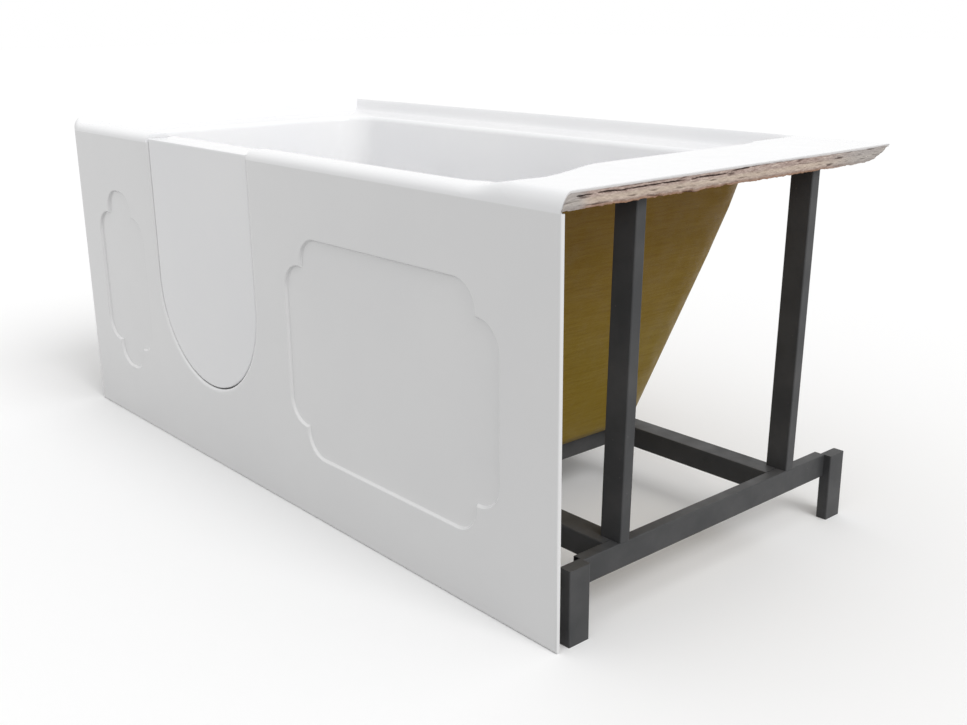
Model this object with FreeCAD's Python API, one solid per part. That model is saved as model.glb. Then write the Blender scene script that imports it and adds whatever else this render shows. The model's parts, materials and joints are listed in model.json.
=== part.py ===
import FreeCAD
import Part
import math
import os

# A step-in bathtub for an alcove: a formed white liner with a glass fibre backing, a bonded
# front skirt with two recessed panels, a U-shaped door that swings into the basin, and a
# welded frame of painted rectangular tube. The origin is at the bottom centre of the tub,
# X runs along its length, the skirt faces -Y and Z is up. All sizes are in millimetres.

# Overall size
tub_length = 1500.0
tub_width = 750.0
tub_height = 640.0

# Formed shell
acrylic = 4.0
laminate = 5.0
floor_laminate = 8.0
lip_height = 28.0
left_deck = 130.0
rear_deck = 88.0
front_deck = 49.0
end_deck = 160.0
rim_height = 16.0
rim_round = 11.0
lip_width = 8.0
foot_wall_run = 20.0
rear_wall_run = 62.0
head_wall_run = 180.0
floor_corner = 130.0
deck_corner = 70.0
floor_round = 9.0
cove_bands = 4

# Boards that stiffen the deck
end_board_thickness = 21.0
left_board_thickness = 18.0
left_board_width = 100.0
board_margin = 6.0
batten_width = 25.0
batten_height = 25.0
batten_end_gap = 40.0

# Front skirt and its recessed panels
skirt_thickness = 5.0
skirt_round = 2.0
panel_bottom = 116.0
panel_top_drop = 110.0
panel_notch = 50.0
panel_recess = 4.0
large_panel_gap = 106.0
large_panel_margin = 116.0
small_panel_gap = 59.0
small_panel_flat = 12.0

# Doorway and door
door_margin = 354.0
door_threshold = 28.5
door_radius = 187.5
door_rise = 8.0
door_recess = 3.0
door_skin = 4.0
door_flange = 16.0
door_flange_thickness = 8.0
door_round = 3.0
skirt_gap = 2.0
jamb_gap = 6.0
jamb_width = 25.0
seal_width = 8.0
seal_inset = 1.0
seal_free_gap = 0.3
seal_space = 4.0

# Door hinges
hinge_offset = 6.0
hinge_rise = 6.0
knuckle_radius = 6.0
hinge_height = 50.0
door_knuckle_height = 20.0
knuckle_gap = 0.5
hinge_pin_radius = 2.5
hinge_pin_head_radius = 4.0
hinge_pin_head_height = 1.5
leaf_width = 32.0
leaf_thickness = 3.0
leaf_gap = 0.5
upper_hinge_drop = 65.0
lower_hinge_rise = 44.0
running_clearance = 0.05

# Latch
latch_drop = 120.0
latch_inset = 40.0
latch_plate_radius = 22.0
latch_plate_thickness = 8.0
latch_gap = 0.5
spindle_radius = 5.0
spindle_depth = 20.0
tongue_length = 57.0
tongue_width = 14.0
tongue_thickness = 5.0
hub_radius = 11.0
hub_height = 15.0
lever_length = 90.0
lever_width = 15.0
lever_thickness = 8.0
lever_round = 3.0
cap_screw_radius = 5.0
cap_screw_height = 2.0
keeper_height = 24.0
keeper_gap = 6.0
keeper_arm_gap = 4.0
keeper_arm = 8.0
keeper_plate = 24.0
keeper_plate_thickness = 4.0
keeper_finger = 5.0

# Small countersunk screws
screw_radius = 2.0
screw_head_radius = 4.0
screw_head_height = 1.5
screw_length = 9.0
screw_margin = 9.0
hole_clearance = 0.1

# Frame of rectangular tube
tube_deep = 40.0
tube_thin = 20.0
tube_wall = 1.5
tube_round = 2.0
frame_height = 118.0
rail_depth = 38.0
leg_inset = 0.0
crossbar_inset = 13.0
front_leg_place = 24.0
rear_leg_place = 55.0
front_rail_place = 123.0
rear_rail_place = 195.0
front_post_place = 139.0
rear_post_place = 187.0
post_lean = 1.6
head_crossbar_place = 364.0
foot_crossbar_place = 500.0

# Skirt brackets
bracket_thickness = 3.0
bracket_width = 40.0
bracket_height = 40.0
bracket_bottom = 40.0

# Waste in the floor
drain_from_left = 220.0
drain_from_rear = 395.0
drain_thread_radius = 24.0
drain_bore_radius = 20.0
drain_flange_radius = 36.0
drain_flange_thickness = 3.0
drain_tube_length = 46.0
drain_gasket = 1.5
drain_washer = 3.0
drain_collar = 4.0
drain_seat_radius = 34.0
drain_cup_wall = 6.0
drain_cup_depth = 49.0
inlet_drop = 4.0
waste_tail_radius = 23.9
waste_tail_length = 26.0
bridge_thickness = 4.0
bridge_width = 6.0
bridge_drop = 20.0
stem_guide_radius = 8.0
stem_radius = 4.0
stem_length = 44.0
plug_radius = 30.0
plug_thickness = 3.0
plug_crown = 3.0
plug_gap = 0.5
plug_seal_thickness = 2.0
plug_hub_radius = 12.0

# Overflow in the foot wall
overflow_drop = 92.0
overflow_hole_radius = 26.0
overflow_flange_radius = 35.0
overflow_collar = 4.0
overflow_washer = 3.0
overflow_cup_radius = 30.0
overflow_cup_depth = 34.0
overflow_wall = 4.0
overflow_plate_radius = 37.0
overflow_plate_thickness = 9.0
overflow_slot_width = 36.0
overflow_slot_height = 8.0
knob_radius = 26.0
knob_thickness = 9.0
knob_gap = 0.5
knob_grip_width = 9.0
knob_grip_height = 9.0
knob_shaft_radius = 4.0
pipe_radius = 16.0
pipe_wall = 2.5
pipe_clearance = 8.0
pipe_bend = 34.0
pipe_drop = 32.0
cable_radius = 3.0
cable_bend = 43.0
cable_offset = 26.0
cable_port_radius = 6.0
cable_port_length = 22.0
cable_drop = 20.0

# One overrun serves all cuts
overrun = 5.0

# Places worked out from the sizes above
left = -tub_length / 2
right = tub_length / 2
front = -tub_width / 2
rear = tub_width / 2
deck_height = tub_height - lip_height
rim_crest = deck_height + rim_height
floor_top = frame_height + floor_laminate + acrylic
basin_depth = deck_height - floor_top
basin_front = front + front_deck
skirt_back = front + skirt_thickness
backing_front = basin_front - acrylic - laminate
deck_underside = deck_height - acrylic
backing_underside = deck_underside - laminate
platform_left = right - end_deck
platform_lean = head_wall_run * (tub_height - deck_height) / basin_depth
end_board_left = platform_left + platform_lean + acrylic + laminate
door_x = left + door_margin + door_radius
door_top = deck_height + door_rise
door_arch_height = floor_top + door_threshold + door_radius
door_front = front + door_recess
door_back = basin_front + seal_space
flange_back = door_back + door_flange_thickness
flange_radius = door_radius + door_flange
jamb_radius = door_radius + jamb_gap
jamb_outer_radius = jamb_radius + jamb_width
hinge_x = door_x - flange_radius - hinge_offset
hinge_y = flange_back + hinge_rise
upper_hinge_height = door_top - upper_hinge_drop
lower_hinge_height = door_arch_height + lower_hinge_rise
latch_x = door_x + flange_radius - latch_inset
latch_back = flange_back + latch_plate_thickness + latch_gap
latch_height = door_top - latch_drop
large_panel_left = door_x + door_radius + large_panel_gap
large_panel_right = right - large_panel_margin
small_panel_right = door_x - door_radius - small_panel_gap
small_panel_left = small_panel_right - small_panel_flat - 4 * panel_notch
panel_top = deck_height - panel_top_drop
overflow_height = deck_height - overflow_drop
drain_x = left + drain_from_left
drain_y = rear - drain_from_rear


def vector(x, y, z):
    """A point or a direction."""
    return FreeCAD.Vector(x, y, z)


def block(x0, x1, y0, y1, z0, z1):
    """A box between two corners."""
    return Part.makeBox(x1 - x0, y1 - y0, z1 - z0, vector(x0, y0, z0))


def rod(start, direction, radius, length):
    """A round bar from a point along a direction."""
    return Part.makeCylinder(radius, length, start, direction)


def pipe(start, direction, radius, bore, length):
    """A round tube from a point along a direction."""
    return rod(start, direction, radius, length).cut(rod(start, direction, bore, length))


def join(shapes):
    """One solid from touching shapes, without seams between flush faces."""
    whole = shapes[0]
    for shape in shapes[1:]:
        whole = whole.fuse(shape)
    return whole.removeSplitter()


def cut_all(shape, tools):
    """A shape less each tool."""
    for tool in tools:
        shape = shape.cut(tool)
    return shape


def edges_where(shape, test):
    """The edges whose middle point and direction pass a test."""
    found = []
    for edge in shape.Edges:
        middle = edge.valueAt((edge.FirstParameter + edge.LastParameter) / 2)
        box = edge.BoundBox
        if test(middle, box):
            found.append(edge)
    return found


def rounded_block(x0, x1, y0, y1, z0, z1, axis, radius):
    """A box whose four edges along one axis are rounded."""
    box = block(x0, x1, y0, y1, z0, z1)
    lengths = (x1 - x0, y1 - y0, z1 - z0)

    def along(middle, bounds):
        spans = (bounds.XLength, bounds.YLength, bounds.ZLength)
        return spans[axis] > lengths[axis] / 2
    return box.makeFillet(radius, edges_where(box, along))


def rectangular_tube(x0, x1, y0, y1, z0, z1, axis):
    """A length of rectangular tube with open ends, along one axis."""
    outer = rounded_block(x0, x1, y0, y1, z0, z1, axis, tube_round)
    low = [x0 + tube_wall, y0 + tube_wall, z0 + tube_wall]
    high = [x1 - tube_wall, y1 - tube_wall, z1 - tube_wall]
    low[axis] = (x0, y0, z0)[axis] - overrun
    high[axis] = (x1, y1, z1)[axis] + overrun
    return outer.cut(block(low[0], high[0], low[1], high[1], low[2], high[2]))


def arc_edge(centre, radius, start_angle, end_angle, place):
    """An arc in a plane; place turns its two coordinates into a point in space."""
    points = []
    for angle in (start_angle, (start_angle + end_angle) / 2, end_angle):
        turn = math.radians(angle)
        points.append(place(centre[0] + radius * math.cos(turn), centre[1] + radius * math.sin(turn)))
    return Part.Arc(points[0], points[1], points[2]).toShape()


def line_edge(start, end, place):
    """A straight edge in a plane."""
    return Part.LineSegment(place(start[0], start[1]), place(end[0], end[1])).toShape()


def rounded_rectangle(x0, x1, y0, y1, radius, z):
    """A level rectangle with round corners, as a closed wire."""
    def place(u, v):
        return vector(u, v, z)
    edges = [
        line_edge((x0 + radius, y0), (x1 - radius, y0), place),
        arc_edge((x1 - radius, y0 + radius), radius, -90, 0, place),
        line_edge((x1, y0 + radius), (x1, y1 - radius), place),
        arc_edge((x1 - radius, y1 - radius), radius, 0, 90, place),
        line_edge((x1 - radius, y1), (x0 + radius, y1), place),
        arc_edge((x0 + radius, y1 - radius), radius, 90, 180, place),
        line_edge((x0, y1 - radius), (x0, y0 + radius), place),
        arc_edge((x0 + radius, y0 + radius), radius, 180, 270, place),
    ]
    return Part.Wire(edges)


def basin_section(z, offset):
    """The basin's outline at a height, grown outwards by an offset."""
    rise = (z - floor_top) / basin_depth
    x0 = left + left_deck + foot_wall_run * (1 - rise) - offset
    x1 = right - end_deck - head_wall_run * (1 - rise) + offset
    y0 = basin_front - offset
    y1 = rear - rear_deck - rear_wall_run * (1 - rise) + offset
    radius = floor_corner + (deck_corner - floor_corner) * rise + offset
    return rounded_rectangle(x0, x1, y0, y1, radius, z)


def wall_face(low, high):
    """The face between two matching edges: flat between lines, ruled between arcs."""
    if isinstance(low.Curve, Part.Line):
        ends = [low.Vertexes[0].Point, low.Vertexes[1].Point, high.Vertexes[1].Point, high.Vertexes[0].Point]
        return Part.Face(Part.makePolygon(ends + [ends[0]]))
    return Part.makeRuledSurface(low, high)


def basin_solid(offset, bottom, top, bottom_round):
    """The basin as a solid: its walls lean out, and narrow bands round off its bottom edge."""
    sections = []
    for step in range(cove_bands + 1):
        turn = math.radians(90) * step / cove_bands
        inset = bottom_round * (1 - math.sin(turn))
        sections.append(basin_section(bottom + bottom_round * (1 - math.cos(turn)), offset - inset))
    sections.append(basin_section(top, offset))
    faces = [Part.Face(sections[0]), Part.Face(sections[-1])]
    for low, high in zip(sections, sections[1:]):
        for low_edge, high_edge in zip(low.Edges, high.Edges):
            faces.append(wall_face(low_edge, high_edge))
    shell = Part.Shell(faces)
    shell.sewShape()
    return Part.Solid(shell)


def arch(radius, y0, y1, top):
    """A U-shaped block: straight sides down to a half round bottom, centred on the door."""
    def place(u, v):
        return vector(u, y0, v)
    edges = [
        line_edge((door_x + radius, top), (door_x - radius, top), place),
        line_edge((door_x - radius, top), (door_x - radius, door_arch_height), place),
        arc_edge((door_x, door_arch_height), radius, 180, 360, place),
        line_edge((door_x + radius, door_arch_height), (door_x + radius, top), place),
    ]
    return Part.Face(Part.Wire(edges)).extrude(vector(0, y1 - y0, 0))


def arch_band(outer, inner, y0, y1, top):
    """A U-shaped band between two radii."""
    return arch(outer, y0, y1, top).cut(arch(inner, y0 - overrun, y1 + overrun, top + overrun))


def rim_block(x0, x1, base, inset):
    """The rounded front rim as a bar along X, shrunk on its top and sides by an inset."""
    y0 = front + inset
    y1 = basin_front - inset
    top = rim_crest - inset
    radius = rim_round - inset

    def place(u, v):
        return vector(x0, u, v)
    edges = [
        line_edge((y0, base), (y0, top - radius), place),
        arc_edge((y0 + radius, top - radius), radius, 180, 90, place),
        line_edge((y0 + radius, top), (y1 - radius, top), place),
        arc_edge((y1 - radius, top - radius), radius, 90, 0, place),
        line_edge((y1, top - radius), (y1, base), place),
        line_edge((y1, base), (y0, base), place),
    ]
    return Part.Face(Part.Wire(edges)).extrude(vector(x1 - x0, 0, 0))


def panel_outline(x0, x1, z0, z1, y):
    """A panel whose corners are notched by two round shoulders that meet in a point."""
    notch = panel_notch

    def place(u, v):
        return vector(u, y, v)
    return Part.Wire([
        line_edge((x0 + 2 * notch, z1), (x1 - 2 * notch, z1), place),
        arc_edge((x1 - 2 * notch, z1 - notch), notch, 90, 0, place),
        arc_edge((x1 - notch, z1 - 2 * notch), notch, 90, 0, place),
        line_edge((x1, z1 - 2 * notch), (x1, z0 + 2 * notch), place),
        arc_edge((x1 - notch, z0 + 2 * notch), notch, 0, -90, place),
        arc_edge((x1 - 2 * notch, z0 + notch), notch, 0, -90, place),
        line_edge((x1 - 2 * notch, z0), (x0 + 2 * notch, z0), place),
        arc_edge((x0 + 2 * notch, z0 + notch), notch, -90, -180, place),
        arc_edge((x0 + notch, z0 + 2 * notch), notch, -90, -180, place),
        line_edge((x0, z0 + 2 * notch), (x0, z1 - 2 * notch), place),
        arc_edge((x0 + notch, z1 - 2 * notch), notch, 180, 90, place),
        arc_edge((x0 + 2 * notch, z1 - notch), notch, 180, 90, place),
    ])


def screw_set(points, direction):
    """Screws with low heads: the head stands on the point, the shank goes the other way."""
    solids = []
    for point in points:
        head = rod(point, direction, screw_head_radius, screw_head_height)
        shank = rod(point, direction * -1, screw_radius, screw_length)
        solids.append(join([head, shank]))
    return solids


def screw_holes(points, direction):
    """The holes that a set of screws needs in what it holds."""
    holes = []
    for point in points:
        holes.append(rod(point, direction * -1, screw_radius + hole_clearance, screw_length + overrun))
    return holes


def hinge_axis(height):
    """The lower end of one hinge's axis."""
    return vector(hinge_x, hinge_y, height - hinge_height / 2)


def leaf_heights(height):
    """Screw heights on a hinge leaf."""
    reach = hinge_height / 2 - screw_margin
    return (height - reach, height + reach)


hinge_heights = {"upper": upper_hinge_height, "lower": lower_hinge_height}
wall_leaf_x1 = hinge_x - knuckle_radius + leaf_thickness
wall_leaf_x0 = wall_leaf_x1 - leaf_width
door_leaf_x0 = hinge_x + knuckle_radius + leaf_gap
door_leaf_x1 = door_leaf_x0 + leaf_width - knuckle_radius
keeper_x0 = door_x + flange_radius + keeper_gap
keeper_arm_x0 = latch_x + tongue_length + keeper_arm_gap
keeper_arm_x1 = keeper_arm_x0 + keeper_arm
keeper_x1 = keeper_arm_x1 + keeper_plate
tongue_back = latch_back + tongue_thickness
finger_front = tongue_back + latch_gap

wall_screw_points = []
door_screw_points = []
for hinge_level in hinge_heights.values():
    for level in leaf_heights(hinge_level):
        wall_screw_points.append(vector(wall_leaf_x0 + screw_margin, basin_front + leaf_thickness, level))
        door_screw_points.append(vector(door_leaf_x1 - screw_margin, flange_back + leaf_thickness, level))
keeper_screw_points = []
latch_screw_points = []
for side in (-1, 1):
    keeper_screw_points.append(vector(
        keeper_arm_x1 + keeper_plate / 2, basin_front + keeper_plate_thickness,
        latch_height + side * (keeper_height / 2 - screw_head_radius - hole_clearance)))
    latch_screw_points.append(vector(
        latch_x + side * (latch_plate_radius - screw_head_radius - 2 * screw_radius),
        flange_back + latch_plate_thickness - screw_head_height, latch_height))

wall_holes = screw_holes(wall_screw_points + keeper_screw_points, vector(0, 1, 0))
door_holes = screw_holes(door_screw_points + latch_screw_points, vector(0, 1, 0))
spindle_hole = rod(
    vector(latch_x, door_back - spindle_depth, latch_height), vector(0, 1, 0),
    spindle_radius + running_clearance,
    spindle_depth + door_flange_thickness + latch_plate_thickness + overrun)

# The foot wall leans, so the overflow's axis leans with it
foot_lean = math.atan(foot_wall_run / basin_depth)
overflow_rise = (overflow_height - floor_top) / basin_depth
overflow_point = vector(left + left_deck + foot_wall_run * (1 - overflow_rise), drain_y, overflow_height)
overflow_axis = vector(math.cos(foot_lean), 0, math.sin(foot_lean))
pipe_x = left + left_deck - acrylic - laminate - pipe_clearance - pipe_radius
drain_top = floor_top + drain_gasket
drain_cup_top = frame_height - drain_washer - drain_collar
drain_cup_bottom = drain_cup_top - drain_cup_depth
drain_cup_radius = drain_thread_radius + running_clearance + drain_cup_wall
drain_inlet_height = drain_cup_top - inlet_drop - pipe_radius
overflow_outlet = overflow_height - overflow_cup_radius - pipe_drop
cable_y = drain_y + cable_offset
drain_hole = rod(
    vector(drain_x, drain_y, 0), vector(0, 0, 1), drain_thread_radius + hole_clearance, deck_height)


def overflow_rod(start, end, radius):
    """A round bar on the overflow's axis, between two distances from the wall's face."""
    return rod(overflow_point + overflow_axis * start, overflow_axis, radius, end - start)


overflow_hole = overflow_rod(-2 * (acrylic + laminate), overrun, overflow_hole_radius)
doorway = arch(jamb_radius, front - overrun, basin_front + overrun, tub_height + overrun)


def tub_liner():
    """The formed sheet: deck, lip, rim, end platform and basin in one piece."""
    slab = block(left, platform_left + acrylic, basin_front - acrylic, rear, deck_underside, deck_height)
    left_lip = block(left, left + lip_width, front, rear, deck_height, tub_height)
    rear_lip = block(left, right, rear - lip_width, rear, deck_height, tub_height)
    rim = rim_block(left, right, deck_height, 0)
    platform = block(platform_left, right, front, rear, deck_height, tub_height)
    front_edge = edges_where(platform, lambda middle, bounds: (
        abs(middle.y - front) < acrylic and abs(middle.z - tub_height) < acrylic))
    platform = platform.makeFillet(rim_round, front_edge)
    deck = join([slab, left_lip, rear_lip, rim, platform])
    rim_hollow = rim_block(left + lip_width, right, deck_height - overrun, acrylic)
    platform_hollow = block(
        platform_left + acrylic, right + overrun, front + acrylic, rear - acrylic,
        deck_height - overrun, tub_height - acrylic)
    deck = cut_all(deck, [rim_hollow, platform_hollow])
    walls = basin_solid(acrylic, floor_top - acrylic, deck_height, floor_round + acrylic)
    end_wall = basin_solid(acrylic, floor_top - acrylic, tub_height, floor_round + acrylic)
    end_wall = end_wall.common(platform)
    liner = join([deck, walls, end_wall])
    cavity = basin_solid(0, floor_top, tub_height + overrun, floor_round)
    openings = Part.makeCompound([doorway, drain_hole, overflow_hole] + wall_holes)
    return liner.cut(cavity).cut(openings)


def tub_backing():
    """The glass fibre layer outside the basin, under the deck and inside the front rim."""
    skin = acrylic + laminate
    walls = basin_solid(skin, frame_height, deck_underside, floor_round + skin)
    end_wall = basin_solid(skin, frame_height, tub_height - acrylic, floor_round + skin)
    end_zone = block(
        platform_left, end_board_left, front + acrylic, rear - acrylic,
        backing_underside, tub_height - acrylic)
    layer = block(left, end_board_left, skirt_back, rear, backing_underside, deck_underside)
    rim_fill = rim_block(left + lip_width, end_board_left, deck_height, acrylic)
    rim_base = block(
        left + lip_width, end_board_left, skirt_back, basin_front - acrylic, backing_underside, deck_height)
    backing = join([walls, layer, rim_fill, rim_base, end_wall.common(end_zone)])
    inner = basin_solid(acrylic, floor_top - acrylic, tub_height + overrun, floor_round + acrylic)
    above_deck = block(
        left - overrun, platform_left + acrylic, basin_front - acrylic, rear + overrun,
        deck_underside, tub_height)
    openings = Part.makeCompound([doorway, drain_hole, overflow_hole] + wall_holes)
    return backing.cut(inner).cut(above_deck).cut(openings)


def end_board():
    """The board whose raw edge shows at the right end, under the platform."""
    top = tub_height - acrylic
    return block(
        end_board_left, right, front + acrylic, rear - acrylic, top - end_board_thickness, top)


def left_board():
    """The board under the left deck that the left posts carry."""
    return block(
        left + board_margin, left + board_margin + left_board_width, skirt_back + batten_width,
        rear - board_margin, backing_underside - left_board_thickness, backing_underside)


def skirt_batten(x0, x1):
    """A strip bonded behind the skirt's top edge."""
    return block(
        x0, x1, skirt_back, skirt_back + batten_width, backing_underside - batten_height, backing_underside)


def front_skirt():
    """The skirt sheet with the doorway and two recessed panels."""
    sheet = block(left, right, front, skirt_back, 0, deck_height)
    ends = edges_where(sheet, lambda middle, bounds: (
        bounds.ZLength > deck_height / 2 and abs(middle.y - front) < skirt_thickness / 2))
    sheet = sheet.makeFillet(skirt_round, ends)
    z0 = panel_bottom
    z1 = panel_top
    grow = skirt_thickness
    for x0, x1 in ((large_panel_left, large_panel_right), (small_panel_left, small_panel_right)):
        pad_wire = panel_outline(x0 - grow, x1 + grow, z0 - grow, z1 + grow, skirt_back)
        pad = Part.Face(pad_wire).extrude(vector(0, panel_recess, 0))
        recess = Part.Face(panel_outline(x0, x1, z0, z1, front)).extrude(vector(0, panel_recess, 0))
        sheet = sheet.fuse(pad).cut(recess)
    skirt_cut = arch(door_radius + skirt_gap, front - overrun, skirt_back + overrun, tub_height)
    return sheet.cut(skirt_cut).removeSplitter()


def door_frame():
    """The U-shaped jamb between the skirt and the basin wall."""
    return arch_band(jamb_outer_radius, jamb_radius, skirt_back, backing_front, backing_underside)


def door_outer_panel():
    """The door's outer tray: the face that shows and its side walls."""
    tray = arch(door_radius, door_front, door_back, door_top)
    face_edges = edges_where(tray, lambda middle, bounds: (
        bounds.YLength < door_skin and abs(middle.y - door_front) < door_skin))
    tray = tray.makeFillet(door_round, face_edges)
    hollow = arch(door_radius - door_skin, door_front + door_skin, door_back + overrun, door_top - door_skin)
    return tray.cut(hollow)


def door_core():
    """The rigid foam that fills the tray."""
    core = arch(door_radius - door_skin, door_front + door_skin, door_back, door_top - door_skin)
    return cut_all(core, [spindle_hole] + door_holes)


def door_inner_panel():
    """The inner panel, wider than the doorway, that carries the seal and hinges."""
    panel = arch(flange_radius, door_back, flange_back, door_top)
    return cut_all(panel, [spindle_hole] + door_holes)


def door_seal():
    """The soft strip between the inner panel and the basin wall."""
    outer = flange_radius - seal_inset
    near = basin_front + seal_free_gap
    return arch_band(outer, outer - seal_width, near, door_back, door_top - seal_inset)


def wall_leaf(height):
    """The hinge leaf screwed to the basin wall, with its two outer knuckles."""
    z0 = height - hinge_height / 2
    z1 = height + hinge_height / 2
    gap = door_knuckle_height / 2 + knuckle_gap
    plate = block(wall_leaf_x0, wall_leaf_x1, basin_front, basin_front + leaf_thickness, z0, z1)
    pieces = [plate]
    for low, high in ((z0, height - gap), (height + gap, z1)):
        pieces.append(block(wall_leaf_x1 - leaf_thickness, wall_leaf_x1, basin_front, hinge_y, low, high))
        pieces.append(rod(vector(hinge_x, hinge_y, low), vector(0, 0, 1), knuckle_radius, high - low))
    leaf = join(pieces)
    bore = rod(
        hinge_axis(height), vector(0, 0, 1), hinge_pin_radius + running_clearance, hinge_height)
    return cut_all(leaf, [bore] + wall_holes)


def door_leaf(height):
    """The hinge leaf screwed to the door, with its middle knuckle."""
    z0 = height - hinge_height / 2
    z1 = height + hinge_height / 2
    low = height - door_knuckle_height / 2
    high = height + door_knuckle_height / 2
    leaf = join([
        block(door_leaf_x0, door_leaf_x1, flange_back, flange_back + leaf_thickness, z0, z1),
        block(hinge_x, door_leaf_x0, flange_back, flange_back + leaf_thickness, low, high),
        rod(vector(hinge_x, hinge_y, low), vector(0, 0, 1), knuckle_radius, high - low),
    ])
    bore = rod(
        hinge_axis(height), vector(0, 0, 1), hinge_pin_radius + running_clearance, hinge_height)
    return cut_all(leaf, [bore] + door_holes)


def hinge_pin(height):
    """A hinge pin with a low head that rests on the upper knuckle."""
    head = vector(hinge_x, hinge_y, height + hinge_height / 2)
    return join([
        rod(hinge_axis(height), vector(0, 0, 1), hinge_pin_radius, hinge_height),
        rod(head, vector(0, 0, 1), hinge_pin_head_radius, hinge_pin_head_height),
    ])


def latch_plate():
    """The round plate on the door that the latch turns in."""
    centre = vector(latch_x, flange_back, latch_height)
    plate = rod(centre, vector(0, 1, 0), latch_plate_radius, latch_plate_thickness)
    sinks = []
    for point in latch_screw_points:
        sinks.append(rod(point, vector(0, 1, 0), screw_head_radius + hole_clearance, overrun))
    return cut_all(plate, [spindle_hole] + door_holes + sinks)


def latch_tongue():
    """The flat tongue that turns behind the keeper; it stands up when the latch is open."""
    tip = latch_height + tongue_length - tongue_width / 2
    half = tongue_width / 2
    bar = block(latch_x - half, latch_x + half, latch_back, tongue_back, latch_height, tip)
    end = rod(vector(latch_x, latch_back, tip), vector(0, 1, 0), half, tongue_thickness)
    hub = rod(vector(latch_x, latch_back, latch_height), vector(0, 1, 0), hub_radius, tongue_thickness)
    hole = rod(
        vector(latch_x, latch_back - overrun, latch_height), vector(0, 1, 0),
        spindle_radius, tongue_thickness + 2 * overrun)
    return join([bar, end, hub]).cut(hole)


def latch_lever():
    """The hand lever with its spindle; it hangs down when the latch is open."""
    hub_back = tongue_back + hub_height
    hub = rod(vector(latch_x, tongue_back, latch_height), vector(0, 1, 0), hub_radius, hub_height)
    low = latch_height - lever_length
    half = lever_width / 2
    grip = rounded_block(
        latch_x - half, latch_x + half, hub_back - lever_thickness, hub_back, low + half, latch_height,
        2, lever_round)
    end_centre = vector(latch_x, hub_back - lever_thickness, low + half)
    end = rod(end_centre, vector(0, 1, 0), half, lever_thickness)
    spindle_start = vector(latch_x, door_back - spindle_depth, latch_height)
    spindle = rod(spindle_start, vector(0, 1, 0), spindle_radius, tongue_back - spindle_start.y)
    return join([hub, grip, end, spindle])


def latch_screw():
    """The cap screw that holds the lever on its spindle."""
    hub_back = tongue_back + hub_height
    return rod(vector(latch_x, hub_back, latch_height), vector(0, 1, 0), cap_screw_radius, cap_screw_height)


def latch_keeper():
    """The bracket on the basin wall whose finger holds the tongue."""
    z0 = latch_height - keeper_height / 2
    z1 = latch_height + keeper_height / 2
    keeper = join([
        block(keeper_arm_x0, keeper_x1, basin_front, basin_front + keeper_plate_thickness, z0, z1),
        block(keeper_arm_x0, keeper_arm_x1, basin_front, finger_front + keeper_finger, z0, z1),
        block(keeper_x0, keeper_arm_x1, finger_front, finger_front + keeper_finger, z0, z1),
    ])
    return cut_all(keeper, wall_holes)


def drain_flange():
    """The chromed flange and threaded tube in the floor, with the bridge that guides the plug."""
    up = vector(0, 0, 1)
    centre = vector(drain_x, drain_y, drain_top)
    tube_bottom = vector(drain_x, drain_y, drain_top - drain_tube_length)
    flange = rod(centre, up, drain_flange_radius, drain_flange_thickness)
    tube = rod(tube_bottom, up, drain_thread_radius, drain_tube_length)
    body = join([flange, tube]).cut(
        rod(tube_bottom, up, drain_bore_radius, drain_tube_length + drain_flange_thickness))
    z0 = drain_top - bridge_drop
    reach = drain_bore_radius + running_clearance
    half = bridge_width / 2
    bars = [
        block(drain_x - reach, drain_x + reach, drain_y - half, drain_y + half, z0, z0 + bridge_thickness),
        block(drain_x - half, drain_x + half, drain_y - reach, drain_y + reach, z0, z0 + bridge_thickness),
        rod(vector(drain_x, drain_y, z0), up, stem_guide_radius, bridge_thickness),
    ]
    guide_hole = rod(
        vector(drain_x, drain_y, z0 - overrun), up, stem_radius + running_clearance,
        bridge_thickness + 2 * overrun)
    return join([body] + bars).cut(guide_hole)


def drain_ring(bottom, height):
    """A flat sealing ring round the threaded tube."""
    return pipe(
        vector(drain_x, drain_y, bottom), vector(0, 0, 1), drain_seat_radius,
        drain_thread_radius + hole_clearance, height)


def drain_body():
    """The cup under the floor with its outlet tail, overflow inlet and cable port."""
    up = vector(0, 0, 1)
    bore = drain_thread_radius + running_clearance
    tail_bottom = vector(drain_x, drain_y, drain_cup_bottom - waste_tail_length)
    inlet_start = vector(pipe_x + pipe_bend, drain_y, drain_inlet_height)
    inlet_length = drain_x - inlet_start.x
    port_start = vector(drain_x - drain_cup_radius - cable_port_length, cable_y, drain_inlet_height)
    port_length = drain_x - port_start.x
    body = join([
        rod(vector(drain_x, drain_y, drain_cup_top), up, drain_seat_radius, drain_collar),
        rod(vector(drain_x, drain_y, drain_cup_bottom), up, drain_cup_radius, drain_cup_depth),
        rod(tail_bottom, up, waste_tail_radius, waste_tail_length),
        rod(inlet_start, vector(1, 0, 0), pipe_radius, inlet_length),
        rod(port_start, vector(1, 0, 0), cable_port_radius, port_length),
    ])
    cup_space = drain_cup_depth + drain_collar - drain_cup_wall
    return cut_all(body, [
        rod(vector(drain_x, drain_y, drain_cup_bottom + drain_cup_wall), up, bore, cup_space),
        rod(tail_bottom, up, drain_bore_radius, waste_tail_length + drain_cup_wall),
        rod(inlet_start, vector(1, 0, 0), pipe_radius - pipe_wall, inlet_length),
        rod(port_start, vector(1, 0, 0), cable_radius + running_clearance, cable_port_length),
    ])


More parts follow.
